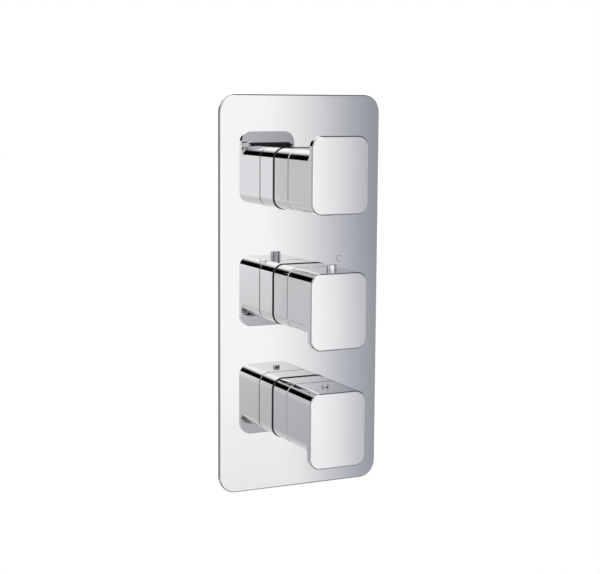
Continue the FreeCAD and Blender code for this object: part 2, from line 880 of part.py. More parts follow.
def build_spline_adaptor(label, axis_z):
    """A bush with fine inner teeth that the spindle's splines fit."""
    body = new_body(label, z=axis_z)
    revolve(body, [(D.adaptor_bore_r, -D.adaptor_reach), (D.adaptor_r, -D.adaptor_reach),
                   (D.adaptor_r, -D.adaptor_back), (D.adaptor_bore_r, -D.adaptor_back)])
    tooth = sketch_on(body, "XZ_Plane", D.adaptor_back)
    base, half = D.adaptor_bore_r + D.slack, D.spline_deep / 2
    outline(tooth, [(-half, base), (0, D.spline_r - D.spline_deep + 0.15), (half, base)])
    around(body, pad(body, tooth, D.adaptor_reach - D.adaptor_back), D.spline_count)


def cut_splines(body):
    """Fine V splines round the outer end of a spindle."""
    notch = sketch_on(body, "XZ_Plane", D.spline_reach + 1)
    half = D.spline_deep * 0.8
    outline(notch, [(-half, D.spline_r + D.slack), (0, D.spline_r - D.spline_deep),
                    (half, D.spline_r + D.slack)])
    cut = pocket(body, notch, D.spline_reach + 1 - D.spline_back)
    around(body, cut, D.spline_count)


def build_grub_screw(label, rotation, axis_z):
    """A headless screw with a hexagon socket, standing across the knob."""
    body = new_body(label, rotation, z=axis_z)
    foot = sketch_on(body, "XY_Plane", D.insert_r)
    circle(foot, 0, -D.grub_reach, D.grub_r)
    pad(body, foot, D.grub_long)
    key = sketch_on(body, "XY_Plane", D.insert_r + D.grub_long)
    hexagon(key, 0, -D.grub_reach, D.grub_key)
    pocket(body, key, D.grub_key_deep)


def build_stop_button():
    body = new_body("stop_button")
    shank = sketch_on(body, "XY_Plane", D.latch_top)
    circle(shank, D.button_side, -D.button_reach, D.button_r)
    pad(body, shank, D.button_top - D.latch_top)
    fillet(body, D.button_edge, lambda edge: lies_at(edge, 2, D.button_top))


def build_stop_latch():
    """The carrier under the button, whose arm reaches back to the stop ring."""
    body = new_body("stop_latch")
    block = sketch_on(body, "XY_Plane", D.latch_bottom)
    half, long_half = D.latch_wide / 2, D.latch_long / 2
    box(block, D.button_side - half, D.button_side + half,
        -D.button_reach - long_half, -D.button_reach + long_half)
    pad(body, block, D.latch_top - D.latch_bottom)
    fillet(body, Size(1), lambda edge: runs_along(edge, 2))
    arm = sketch_on(body, "XY_Plane", D.latch_bottom)
    box(arm, -D.arm_wide / 2, D.arm_wide / 2, -D.button_reach, -D.arm_reach)
    pad(body, arm, D.arm_top - D.latch_bottom)


def build_stop_ring():
    """A ring on the cartridge head with one long lug that ends the turn."""
    body = new_body("stop_ring")
    front, back = -D.stop_ring_front, -D.stop_ring_front + D.stop_ring_thick
    bore = D.nose_r + D.slack / 2
    revolve(body, [(bore, front), (D.stop_ring_r, front), (D.stop_ring_r, back), (bore, back)])
    lug = sketch_on(body, "XZ_Plane", -back)
    ring_sector(lug, D.stop_ring_r - 0.5, D.stop_lug_r, D.stop_lug_start, D.stop_lug_end)
    pad(body, lug, D.stop_ring_thick)


def ring_sector(sketch, inner, outer, start, end):
    """A stretch of a ring between two angles about the sketch's origin."""
    angles = (start, end)
    arcs = []
    for radius in (inner, outer):
        base = Part.Circle(FreeCAD.Vector(0, 0, 0), FreeCAD.Vector(0, 0, 1), radius.value)
        first, last = (math.radians(angle.value) for angle in angles)
        arc = sketch.addGeometry(Part.ArcOfCircle(base, first, last))
        sketch.addConstraint(Sketcher.Constraint("Coincident", arc, 3, -1, 1))
        size = sketch.addConstraint(Sketcher.Constraint("Radius", arc, radius.value))
        sketch.setExpression(f"Constraints[{size}]", radius.text)
        arcs.append(arc)
    for end_point, angle in zip((1, 2), angles):
        turn = math.radians(angle.value)
        way = FreeCAD.Vector(math.cos(turn), math.sin(turn), 0)
        line = sketch.addGeometry(Part.LineSegment(way * inner.value, way * outer.value))
        sketch.addConstraint([
            Sketcher.Constraint("Coincident", line, 1, arcs[0], end_point),
            Sketcher.Constraint("Coincident", line, 2, arcs[1], end_point),
        ])
        rule = Sketcher.Constraint("Angle", -1, 1, line, 1, turn)
        size = sketch.addConstraint(rule)
        sketch.setExpression(f"Constraints[{size}]", angle.text)


# ---------------------------------------------------------------------------
# Flow cartridges
# ---------------------------------------------------------------------------

def build_headwork(label, axis_z):
    """Brass headwork: nose, hexagon, thread and a cage with side windows."""
    body = new_body(label, z=axis_z)
    revolve(body, [(0, -D.nose_front), (D.nose_r, -D.nose_front), (D.nose_r, D.nose_end),
                   (D.thread_r, D.nose_end), (D.thread_r, D.thread_end),
                   (D.cage_r, D.thread_end), (D.cage_r, D.cage_end), (0, D.cage_end)])
    spanner = sketch_on(body, "XZ_Plane", -D.hex_end)
    hexagon(spanner, 0, 0, D.hex_across)
    pad(body, spanner, D.hex_end - D.nose_end)
    groove(body, [(0, -D.nose_front - 1), (D.headwork_bore_r, -D.nose_front - 1),
                  (D.headwork_bore_r, D.cage_step), (D.cage_bore_r, D.cage_step),
                  (D.cage_bore_r, D.cage_end + 1), (0, D.cage_end + 1)])
    windows = sketch_on(body, "XY_Plane")
    half = D.window_wide / 2
    box(windows, -half, half, D.window_start, D.window_end)
    pocket(body, windows, D.thread_r * 2 + 1, both_ways=True)
    keys = sketch_on(body, "YZ_Plane")
    half = D.key_wide / 2
    box(keys, D.fixed_disc_start, D.cage_end + 1, -half, half)
    pocket(body, keys, D.thread_r * 2 + 1, both_ways=True)


def build_spindle(label, rotation, axis_z):
    """Flow spindle: splined end, stem with ring grooves, flange and tangs."""
    body = new_body(label, rotation, z=axis_z)
    revolve(body, [(0, -D.spline_reach), (D.spline_r, -D.spline_reach),
                   (D.spline_r, -D.spline_back), (D.shaft_r, -D.spline_back),
                   (D.shaft_r, -D.stem_front), (D.stem_r, -D.stem_front),
                   (D.stem_r, D.flange_start), (D.flange_r, D.flange_start),
                   (D.flange_r, D.flange_end), (0, D.flange_end)])
    cut_stem_grooves(body, D.stem_r, D.stem_ring_floor, D.stem_ring_depth)
    tangs = sketch_on(body, "XZ_Plane", -D.tang_end)
    for side in (1, -1):
        ends = sorted((D.tang_inner * side, D.tang_outer * side), key=lambda size: size.value)
        box(tangs, ends[0], ends[1], -D.tang_wide / 2, D.tang_wide / 2)
    pad(body, tangs, D.tang_end - D.flange_end + 0.2)
    cut_splines(body)


def cut_stem_grooves(body, stem, floor, ring_depth):
    """Grooves for the O-ring and for the circlip that holds the spindle."""
    square_groove(body, floor, stem + 1, ring_depth, D.ring_groove_wide)
    middle = -D.circlip_front + D.circlip_thick / 2
    square_groove(body, D.circlip_floor, stem + 1, middle, D.circlip_thick)


def build_circlip(label, axis_z):
    """An open spring ring in the spindle's groove."""
    body = new_body(label, z=axis_z)
    front, back = -D.circlip_front, -D.circlip_front + D.circlip_thick
    revolve(body, [(D.circlip_floor, front), (D.circlip_r, front),
                   (D.circlip_r, back), (D.circlip_floor, back)])
    mouth = sketch_on(body, "XZ_Plane", D.circlip_front + 1)
    half = D.circlip_floor * 0.7
    box(mouth, -half, half, Size(0), D.circlip_r + 1)
    pocket(body, mouth, D.circlip_thick + 2)


def build_rotating_disc(label, rotation, axis_z):
    """Ceramic disc with a half-moon opening and two slots for the tangs."""
    body = new_body(label, rotation, z=axis_z)
    face = sketch_on(body, "XZ_Plane", -D.disc_end)
    circle(face, 0, 0, D.disc_r)
    half_moon(face, D.moon_r, D.moon_offset + D.tang_wide / 2)
    pad(body, face, D.disc_end - D.disc_start)
    slots = sketch_on(body, "XZ_Plane", -D.disc_start)
    half = D.tang_wide / 2 + D.slack
    for side in (1, -1):
        ends = sorted(((D.tang_inner - D.slack) * side, (D.disc_r + 1) * side),
                      key=lambda size: size.value)
        box(slots, ends[0], ends[1], -half, half)
    pocket(body, slots, D.tang_end - D.disc_start + D.slack)


def build_fixed_discs():
    """Ceramic discs keyed to the headwork, each with a half-moon opening."""
    discs = []
    for axis_z in (UPPER, LOWER):
        body = DOC.addObject("PartDesign::Body", "fixed_disc")
        place(body, z=axis_z)
        face = sketch_on(body, "XZ_Plane", -D.fixed_disc_end)
        circle(face, 0, 0, D.fixed_disc_r)
        half_moon(face, D.moon_r, D.moon_offset)
        pad(body, face, D.fixed_disc_end - D.fixed_disc_start)
        keys = sketch_on(body, "XZ_Plane", -D.fixed_disc_end)
        half = D.key_wide / 2 - D.slack
        for side in (1, -1):
            ends = sorted(((D.fixed_disc_r - 1) * side, D.cage_r * side),
                          key=lambda size: size.value)
            box(keys, ends[0], ends[1], -half, half)
        pad(body, keys, D.fixed_disc_end - D.fixed_disc_start - D.slack)
        discs.append(body)
    group("fixed_discs", discs)


def build_disc_seals():
    """Rubber rings that press the fixed discs against the rotating ones."""
    seals = []
    for axis_z in (UPPER, LOWER):
        outer = DOC.addObject("Part::Cylinder", "seal_outer")
        inner = DOC.addObject("Part::Cylinder", "seal_inner")
        for cylinder, radius in ((outer, D.fixed_disc_r), (inner, D.seal_bore_r)):
            bind(cylinder, "Radius", radius)
            bind(cylinder, "Height", D.socket_floor - D.fixed_disc_end)
            place(cylinder, AXIS_TO_Y, y=D.fixed_disc_end, z=axis_z)
        seal = DOC.addObject("Part::Cut", "seal")
        seal.Base = outer
        seal.Tool = inner
        seals.append(seal)
    group("disc_seals", seals)


def build_headwork_o_rings():
    depth = D.thread_end + 1
    group("headwork_o_rings", [o_ring("headwork_ring", D.cage_r, D.socket_bore_r, depth, axis_z)
                               for axis_z in (UPPER, LOWER)])


# ---------------------------------------------------------------------------
# Thermostatic cartridge
# ---------------------------------------------------------------------------

def build_cartridge_head():
    """Brass head: nose for the stop ring, chamber with keyways for the cup."""
    body = new_body("cartridge_head")
    revolve(body, [(0, -D.nose_front), (D.nose_r, -D.nose_front), (D.nose_r, D.head_step),
                   (D.head_r, D.head_step), (D.head_r, D.head_end), (0, D.head_end)])
    groove(body, [(0, -D.nose_front - 1), (D.head_bore_r, -D.nose_front - 1),
                  (D.head_bore_r, D.head_chamber), (D.head_chamber_r, D.head_chamber),
                  (D.head_chamber_r, D.head_end + 1), (0, D.head_end + 1)])
    keyways = sketch_on(body, "XZ_Plane", -D.head_end)
    box(keyways, -D.keyway_r, D.keyway_r, -D.keyway_wide / 2, D.keyway_wide / 2)
    pocket(body, keyways, D.head_end - D.head_chamber - 1, forwards=True)


def build_cartridge_nut():
    """The ring nut that clamps the cartridge and carries the shroud tube."""
    body = new_body("cartridge_nut")
    revolve(body, [(D.nut_bore_r, D.nut_nose_front), (D.nut_nose_r, D.nut_nose_front),
                   (D.nut_nose_r, D.nut_flange_start), (D.nut_flange_r, D.nut_flange_start),
                   (D.nut_flange_r, D.warm_socket_front), (D.nut_thread_r, D.warm_socket_front),
                   (D.nut_thread_r, D.nut_thread_end), (D.nut_bore_r, D.nut_thread_end)])
    flats = sketch_on(body, "XZ_Plane", -D.nut_flange_start)
    reach, cut = D.nut_flange_r + 1, D.nut_flange_r - 1.5
    for side in (1, -1):
        ends = sorted((cut * side, reach * side), key=lambda size: size.value)
        box(flats, ends[0], ends[1], -reach, reach)
    pocket(body, flats, D.warm_socket_front - D.nut_flange_start)


def build_temperature_spindle():
    """Splined spindle whose screw drives the pressure cup along its axis."""
    body = new_body("temperature_spindle")
    revolve(body, [(0, -D.spline_reach), (D.spline_r, -D.spline_reach),
                   (D.spline_r, -D.spline_back), (D.shaft_r, -D.spline_back),
                   (D.shaft_r, -D.stem_front), (D.warm_stem_r, -D.stem_front),
                   (D.warm_stem_r, D.warm_flange_start), (D.warm_flange_r, D.warm_flange_start),
                   (D.warm_flange_r, D.warm_flange_end), (D.screw_r, D.warm_flange_end),
                   (D.screw_r, D.screw_end), (0, D.screw_end)])
    cut_stem_grooves(body, D.warm_stem_r, D.warm_ring_floor, D.warm_ring_depth)
    cut_splines(body)


def build_pressure_cup():
    """A nut that can't turn: its keys slide in the head's keyways."""
    body = new_body("pressure_cup")
    revolve(body, [(D.cup_thread_r, D.cup_front), (D.cup_r, D.cup_front), (D.cup_r, D.cup_end),
                   (D.cup_chamber_r, D.cup_end), (D.cup_chamber_r, D.cup_web_end),
                   (0, D.cup_web_end), (0, D.cup_web_start), (D.cup_thread_r, D.cup_web_start)])
    for side in (1, -1):
        key = sketch_on(body, "XZ_Plane", -D.cup_key_end)
        ends = sorted(((D.cup_r - 1) * side, D.cup_key_r * side), key=lambda size: size.value)
        box(key, ends[0], ends[1], -D.cup_key_wide / 2, D.cup_key_wide / 2)
        pad(body, key, D.cup_key_end - D.cup_front)


def build_thrust_washer():
    body = new_body("thrust_washer")
    revolve(body, [(0, D.washer_start), (D.washer_r, D.washer_start),
                   (D.washer_r, D.washer_end), (0, D.washer_end)])


def build_wax_element():
    """The expanding capsule that senses the mixed water."""
    body = new_body("wax_element")
    revolve(body, [(0, D.washer_end), (D.wax_pin_r, D.washer_end),
                   (D.wax_pin_r, D.wax_collar_start), (D.wax_collar_r, D.wax_collar_start),
                   (D.wax_collar_r, D.wax_collar_end), (D.wax_bulb_r, D.wax_collar_end),
                   (D.wax_bulb_r, D.wax_bulb_end), (0, D.wax_bulb_end)])
    chamfer(body, Size(1.5), lambda edge: lies_at(edge, 1, D.wax_bulb_end))


def build_shuttle():
    """The ring that opens one inlet as it shuts the other."""
    body = new_body("shuttle")
    front, back = D.mix_depth - D.shuttle_half, D.mix_depth + D.shuttle_half
    revolve(body, [(D.shuttle_bore_r, D.wax_collar_start), (D.shuttle_hub_r, D.wax_collar_start),
                   (D.shuttle_hub_r, D.shuttle_web_start), (D.shuttle_rim_r, D.shuttle_web_start),
                   (D.shuttle_rim_r, front), (D.shuttle_r, front), (D.shuttle_r, back),
                   (D.shuttle_rim_r, back), (D.shuttle_rim_r, D.shuttle_web_end),
                   (D.shuttle_bore_r, D.shuttle_web_end)])
    hole = sketch_on(body, "XZ_Plane", -D.shuttle_web_start + 1)
    circle(hole, D.shuttle_hole_at, 0, D.shuttle_hole_r)
    around(body, pocket(body, hole, D.shuttle_half), D.shuttle_hole_count)
    square_groove(body, D.shuttle_groove_r, D.shuttle_r + 1, D.mix_depth, D.shuttle_groove_wide)


def build_shuttle_o_ring():
    outer = D.housing_bore_r - D.ring_gap
    ring = o_ring("shuttle_ring", D.shuttle_groove_r, outer, D.mix_depth, MIDDLE)
    keep(ring, "shuttle_o_ring")


def build_cartridge_housing():
    """Moulded housing: two seats, and a row of ports at each of them."""
    body = new_body("cartridge_housing")
    hot_seat, cold_seat = D.mix_depth - D.seat_gap, D.mix_depth + D.seat_gap
    revolve(body, [(D.housing_thread_r, D.housing_front), (D.housing_flange_r, D.housing_front),
                   (D.housing_flange_r, D.housing_flange_end), (D.housing_r, D.housing_flange_end),
                   (D.housing_r, D.housing_end), (D.seat_bore_r, D.housing_end),
                   (D.seat_bore_r, cold_seat), (D.housing_bore_r, cold_seat),
                   (D.housing_bore_r, hot_seat), (D.seat_bore_r, hot_seat),
                   (D.seat_bore_r, D.head_end), (D.housing_thread_r, D.head_end)])
    for start, end in ((hot_seat, hot_seat + D.port_long), (cold_seat - D.port_long, cold_seat)):
        ports = sketch_on(body, "XY_Plane")
        box(ports, -D.port_wide / 2, D.port_wide / 2, start, end)
        cut = pocket(body, ports, D.housing_flange_r * 2 + 1, both_ways=True)
        around(body, cut, D.port_count)
    for depth in housing_ring_depths():
        square_groove(body, D.housing_groove_r, D.housing_r + 1, depth, D.housing_groove_wide)


def housing_ring_depths():
    return (D.mix_depth - D.housing_ring_spread, D.mix_depth, D.mix_depth + D.housing_ring_spread)


def build_housing_o_rings():
    group("housing_o_rings", [o_ring("housing_ring", D.housing_groove_r, D.warm_bore_r, depth,
                                     MIDDLE)
                              for depth in housing_ring_depths()])


def build_cartridge_end_cap():
    """The spring's seat, open in the middle for the mixed water."""
    body = new_body("cartridge_end_cap")
    revolve(body, [(D.cap_bore_r, D.housing_end), (D.housing_r, D.housing_end),
                   (D.housing_r, D.cap_end), (D.cap_bore_r, D.cap_end)])


def build_filter_screens():
    """Perforated bands over the two rows of ports."""
    screens = []
    shift = D.housing_ring_spread / 2
    for middle in (D.mix_depth - shift, D.mix_depth + shift):
        body = DOC.addObject("PartDesign::Body", "filter_screen")
        place(body)
        start, end = middle - D.screen_long / 2, middle + D.screen_long / 2
        revolve(body, [(D.screen_bore_r, start), (D.screen_r, start),
                       (D.screen_r, end), (D.screen_bore_r, end)])
        slot = sketch_on(body, "XY_Plane")
        half, long_half = D.screen_slot_wide / 2, D.screen_slot_long / 2
        box(slot, -half, half, middle - long_half, middle + long_half)
        cut = pocket(body, slot, D.screen_r * 2 + 1, both_ways=True)
        around(body, cut, D.screen_slot_count)
        screens.append(body)
    group("filter_screens", screens)


# ---------------------------------------------------------------------------
# Check valves, built outwards along Y and turned to the two sides
# ---------------------------------------------------------------------------

def build_check_cage(label, rotation):
    body = new_body(label, rotation, y=D.mix_depth)
    revolve(body, [(D.check_seat_r, D.check_outer), (D.check_seat_r, D.check_seat),
                   (D.check_cavity_r, D.check_seat), (D.check_cavity_r, D.spider_outer),
                   (D.spider_bore_r, D.spider_outer), (D.spider_bore_r, D.check_inner),
                   (D.check_r, D.check_inner), (D.check_r, D.check_outer)])
    hole = sketch_on(body, "XZ_Plane", -D.check_inner + 1)
    circle(hole, D.spider_hole_at, 0, D.spider_hole_r)
    cut = pocket(body, hole, D.spider_outer - D.check_inner + 2)
    around(body, cut, D.spider_hole_count)


def build_check_poppet(label, rotation):
    body = new_body(label, rotation, y=D.mix_depth)
    face = D.check_seat - D.slack
    revolve(body, [(0, D.poppet_stem_end), (D.poppet_stem_r, D.poppet_stem_end),
                   (D.poppet_stem_r, face - D.poppet_thick), (D.poppet_r, face - D.poppet_thick),
                   (D.poppet_r, face), (D.check_seat_r - 0.4, face),
                   (D.check_seat_r - 1, face + 0.8), (0, face + 0.8)])


def build_check_spring(label, rotation):
    start = D.spider_outer + D.slack
    end = D.check_seat - D.poppet_thick - D.slack * 2
    spring(label, D.check_mean_r, D.check_wire_r, D.check_turns, start, end, rotation,
           (0, D.mix_depth, 0))


# ---------------------------------------------------------------------------
# Cast valve body and wall bracket
# ---------------------------------------------------------------------------

def add_round(body, plane, offset, x, y, radius, length, both_ways=False, backwards=False):
    sketch = sketch_on(body, plane, offset)
    circle(sketch, x, y, radius)
    pad(body, sketch, length, both_ways, backwards)


def cut_round(body, plane, offset, x, y, radius, length, forwards=False):
    sketch = sketch_on(body, plane, offset)
    circle(sketch, x, y, radius)
    pocket(body, sketch, length, forwards=forwards)


def build_valve_body():
    """One brass casting: three sockets, the rear duct and four ports."""
    body = new_body("valve_body")
    add_round(body, "XY_Plane", 0, 0, D.duct_depth, D.duct_r, D.axis_pitch * 2, both_ways=True)
    duct_back = D.duct_depth + D.duct_r
    for axis_z in (UPPER, LOWER):
        for radius, front, end in ((D.duct_r, D.flow_socket_end - 2, duct_back),
                                   (D.flow_socket_r, D.flow_socket_front, D.flow_socket_end),
                                   (D.socket_nose_r, D.socket_nose_front, D.flow_socket_front + 1)):
            add_round(body, "XZ_Plane", -end, 0, axis_z, radius, end - front)
    add_round(body, "XZ_Plane", -D.warm_socket_end, 0, 0, D.warm_socket_r,
              D.warm_socket_end - D.warm_socket_front)
    rib = sketch_on(body, "XZ_Plane", -D.duct_depth)
    box(rib, -D.rib_wide / 2, D.rib_wide / 2, -D.axis_pitch, D.axis_pitch)
    pad(body, rib, D.duct_depth - D.rib_front)
    ears = sketch_on(body, "XZ_Plane", -D.back_face)
    for ear_z in (D.ear_z, -D.ear_z):
        box(ears, -D.ear_wide / 2, D.ear_wide / 2, ear_z - D.ear_high / 2, ear_z + D.ear_high / 2)
    pad(body, ears, D.back_face - D.ear_front)
    add_ports(body)
    cut_sockets(body)
    cut_ports(body)
    for x in (D.bracket_screw_x, -D.bracket_screw_x):
        for z in (D.ear_z, -D.ear_z):
            cut_round(body, "XZ_Plane", -D.back_face, x, z, D.bracket_screw_r,
                      D.bracket_screw_deep, forwards=True)


def add_ports(body):
    """Round bosses for the inlets and outlets, with spanner flats at the ends."""
    add_round(body, "YZ_Plane", 0, D.mix_depth, 0, D.port_boss_r, D.inlet_end * 2, both_ways=True)
    for sign in (1, -1):
        backwards = sign < 0
        hexes = sketch_on(body, "YZ_Plane", (D.inlet_end - D.port_hex_long) * sign)
        hexagon(hexes, D.mix_depth, 0, D.port_hex_across)
        pad(body, hexes, D.port_hex_long, backwards=backwards)
        add_round(body, "XY_Plane", D.axis_pitch * sign, 0, D.outlet_depth, D.port_boss_r,
                  D.outlet_end - D.axis_pitch, backwards=backwards)
        hexes = sketch_on(body, "XY_Plane", (D.outlet_end - D.port_hex_long) * sign)
        hexagon(hexes, 0, D.outlet_depth, D.port_hex_across)
        pad(body, hexes, D.port_hex_long, backwards=backwards)


def cut_sockets(body):
    """Stepped bores for the three cartridges, and the duct behind them."""
    duct = sketch_on(body, "XY_Plane")
    circle(duct, 0, D.duct_depth, D.duct_bore_r)
    pocket(body, duct, D.axis_pitch * 2, both_ways=True)
    for axis_z in (UPPER, LOWER):
        for radius, floor in ((D.socket_well_r, D.hex_end), (D.socket_bore_r, D.socket_floor),
                              (D.axial_bore_r, D.duct_depth)):
            cut_round(body, "XZ_Plane", -D.socket_nose_front, 0, axis_z, radius,
                      floor - D.socket_nose_front)
    for radius, floor in ((D.warm_bore_r, D.warm_socket_floor), (D.mixed_bore_r, D.duct_depth)):
        cut_round(body, "XZ_Plane", -D.warm_socket_front, 0, 0, radius,
                  floor - D.warm_socket_front)


def cut_ports(body):
    """Threaded mouths, check valve bores and the passages behind them."""
    for sign in (1, -1):
        forwards = sign < 0
        side_port = D.mix_depth + D.side_port_shift * sign
        for depth, radius, floor in ((D.mix_depth, D.port_thread_r, D.inlet_end - D.port_thread_long),
                                     (D.mix_depth, D.check_bore_r, D.check_floor),
                                     (side_port, D.side_port_r, D.warm_bore_r - 3)):
            cut_round(body, "YZ_Plane", D.inlet_end * sign, depth, 0, radius,
                      D.inlet_end - floor, forwards=forwards)
        for radius, floor in ((D.port_thread_r, D.outlet_end - D.port_thread_long),
                              (D.outlet_bore_r, D.axis_pitch + D.socket_bore_r - 2)):
            cut_round(body, "XY_Plane", D.outlet_end * sign, 0, D.outlet_depth, radius,
                      D.outlet_end - floor, forwards=forwards)


def build_wall_bracket():
    """Pressed steel plate behind the casting, with four wall fixings."""
    body = new_body("wall_bracket")
    half_wide, half_high = D.bracket_wide / 2, D.bracket_high / 2
    back = D.back_face + D.bracket_thick
    round_block(body, -half_wide, half_wide, -half_high, half_high, D.bracket_corner,
                -back, -D.back_face)
    holes = sketch_on(body, "XZ_Plane", -D.back_face)
    half_wide, half_high = D.bracket_window_wide / 2, D.bracket_window_high / 2
    rounded_box(holes, -half_wide, half_wide, -half_high, half_high, D.bracket_corner)
    for sign_x in (1, -1):
        for sign_z in (1, -1):
            circle(holes, D.fixing_x * sign_x, D.fixing_z * sign_z, D.fixing_r)
            circle(holes, D.bracket_screw_x * sign_x, D.ear_z * sign_z, D.bracket_screw_r + 0.2)
    pocket(body, holes)
    screw_hole = D.bracket_screw_r.value + 0.2
    chamfer(body, D.countersink, lambda edge: lies_at(edge, 1, back)
            and isinstance(edge.Curve, Part.Circle) and near(edge.Curve.Radius, screw_hole))


def build_bracket_screws():
    """Countersunk screws that hold the bracket to the casting's ears."""
    screws = []
    back = D.back_face + D.bracket_thick
    for sign_x in (1, -1):
        for sign_z in (1, -1):
            shank = DOC.addObject("Part::Cylinder", "screw_shank")
            bind(shank, "Radius", D.bracket_screw_r - 0.05)
            bind(shank, "Height", D.bracket_thick + D.bracket_screw_deep - 1)
            head = DOC.addObject("Part::Cone", "screw_head")
            bind(head, "Radius1", D.bracket_screw_r - 0.05)
            bind(head, "Radius2", D.bracket_screw_r + D.countersink)
            bind(head, "Height", D.countersink + 0.05)
            socket = DOC.addObject("Part::Prism", "screw_socket")
            socket.Polygon = 6
            bind(socket, "Circumradius", D.grub_key * 0.7)
            bind(socket, "Height", Size(2))
            starts = (back - D.bracket_thick - D.bracket_screw_deep + 1,
                      back - D.countersink - 0.05, back - 1.2)
            for solid, start in zip((shank, head, socket), starts):
                place(solid, AXIS_TO_Y, x=D.bracket_screw_x * sign_x, y=start, z=D.ear_z * sign_z)
            joined = DOC.addObject("Part::Fuse", "screw_blank")
            joined.Base = shank
            joined.Tool = head
            screw = DOC.addObject("Part::Cut", "screw")
            screw.Base = joined
            screw.Tool = socket
            screws.append(screw)
    group("bracket_screws", screws)


# ---------------------------------------------------------------------------
# The assembly
# ---------------------------------------------------------------------------

def build_handle(name, rotation, axis_z):
    build_sleeve(f"{name}_sleeve", axis_z)
    build_knob(f"{name}_knob", rotation, axis_z, has_button=name == "temperature")
    build_spline_adaptor(f"{name}_spline_adaptor", axis_z)
    screw_turn = HALF_TURN if name in ("upper", "temperature") else UNTURNED
    build_grub_screw(f"{name}_grub_screw", screw_turn, axis_z)
    build_circlip(f"{name}_circlip", axis_z)


def build_flow_cartridge(name, rotation, axis_z):
    """The disc's opening faces the fixed one when the lip points up."""
    build_headwork(f"{name}_headwork", axis_z)
    build_spindle(f"{name}_spindle", rotation, axis_z)
    outer = D.headwork_bore_r - D.ring_gap
    keep(o_ring("stem_ring", D.stem_ring_floor, outer, D.stem_ring_depth, axis_z),
         f"{name}_spindle_o_ring")
    build_rotating_disc(f"{name}_rotating_disc", rotation, axis_z)


def build_thermostatic_cartridge():
    build_cartridge_head()
    build_cartridge_nut()
    build_stop_ring()
    build_temperature_spindle()
    outer = D.head_bore_r - D.ring_gap
    keep(o_ring("stem_ring", D.warm_ring_floor, outer, D.warm_ring_depth, MIDDLE),
         "temperature_spindle_o_ring")
    build_pressure_cup()
    spring("overload_spring", D.overload_mean_r, D.overload_wire_r, D.overload_turns,
           D.cup_web_end, D.washer_start)
    build_thrust_washer()
    build_wax_element()
    build_shuttle()
    build_shuttle_o_ring()
    spring("return_spring", D.return_mean_r, D.return_wire_r, D.return_turns,
           D.shuttle_web_end, D.housing_end)
    build_cartridge_housing()
    build_housing_o_rings()
    build_cartridge_end_cap()
    build_filter_screens()


def build_stop():
    build_stop_button()
    build_stop_latch()
    upright = FreeCAD.Rotation(FreeCAD.Vector(1, 0, 0), 90)
    spring("stop_spring", D.stop_mean_r, D.stop_wire_r, D.stop_turns, D.boss_r + D.slack,
           D.latch_bottom, upright, (D.button_side, -D.button_reach, 0))


def export():
    """Check every object, then write each piece under its own name."""
    DOC.recompute()
    for item in DOC.Objects:
        if "Invalid" in item.State or "Error" in item.State:
            raise RuntimeError(f"{item.Label} failed: {item.State}")
    for piece in PIECES:
        if piece.Shape.isNull() or not piece.Shape.isValid():
            raise RuntimeError(f"{piece.Label} has no valid shape")
    os.makedirs("parts", exist_ok=True)
    for piece in PIECES:
        piece.Shape.exportStep(f"parts/{piece.Label}.step")
    print(f"{len(PIECES)} pieces written")


build_faceplate()
build_faceplate_gasket()
for handle, turn, height in (("upper", HALF_TURN, UPPER), ("temperature", UNTURNED, MIDDLE),
                             ("lower", UNTURNED, LOWER)):
    build_handle(handle, turn, height)
build_sleeve_gaskets()
build_sleeve_o_rings()
build_shroud_tubes()
build_flow_cartridge("upper", UNTURNED, UPPER)
build_flow_cartridge("lower", HALF_TURN, LOWER)
build_fixed_discs()
build_disc_seals()
build_headwork_o_rings()
build_thermostatic_cartridge()
build_stop()
for inlet, outwards in (("hot", TO_LEFT), ("cold", TO_RIGHT)):
    build_check_cage(f"{inlet}_check_cage", outwards)
    build_check_poppet(f"{inlet}_check_poppet", outwards)
    build_check_spring(f"{inlet}_check_spring", outwards)
build_valve_body()
build_wall_bracket()
build_bracket_screws()
export()
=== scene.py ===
import math

import bmesh
import bpy
from mathutils import Matrix, Vector


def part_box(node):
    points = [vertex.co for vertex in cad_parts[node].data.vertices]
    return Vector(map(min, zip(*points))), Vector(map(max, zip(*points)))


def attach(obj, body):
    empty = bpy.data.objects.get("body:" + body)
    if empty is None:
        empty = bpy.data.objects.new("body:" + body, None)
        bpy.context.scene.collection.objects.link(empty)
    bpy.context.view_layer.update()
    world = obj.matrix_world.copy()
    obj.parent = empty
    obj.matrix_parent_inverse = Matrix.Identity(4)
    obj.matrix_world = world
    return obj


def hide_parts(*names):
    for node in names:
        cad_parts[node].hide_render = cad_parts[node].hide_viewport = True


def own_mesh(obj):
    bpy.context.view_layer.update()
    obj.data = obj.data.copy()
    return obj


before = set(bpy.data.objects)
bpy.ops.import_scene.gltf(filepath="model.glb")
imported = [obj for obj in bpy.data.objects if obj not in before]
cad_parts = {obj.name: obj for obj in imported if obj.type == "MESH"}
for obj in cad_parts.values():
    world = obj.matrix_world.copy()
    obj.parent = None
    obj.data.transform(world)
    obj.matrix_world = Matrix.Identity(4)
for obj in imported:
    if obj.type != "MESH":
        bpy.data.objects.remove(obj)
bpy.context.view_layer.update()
MM = 0.001

# The photograph's camera, in the object's frame: place in mm, angles in radians, lens in pixels.
PHOTO_WIDTH, PHOTO_HEIGHT = 600, 574
CAMERA_PLACE = Vector((-476.4, -979.5, 150.6)) * MM
CAMERA_YAW, CAMERA_PITCH, CAMERA_ROLL = 0.4538, 0.1315, -0.0072
FOCAL_PIXELS = 1439.7
PICTURE_CENTRE = (300.3, 284.2)
SENSOR_WIDTH = 36.0

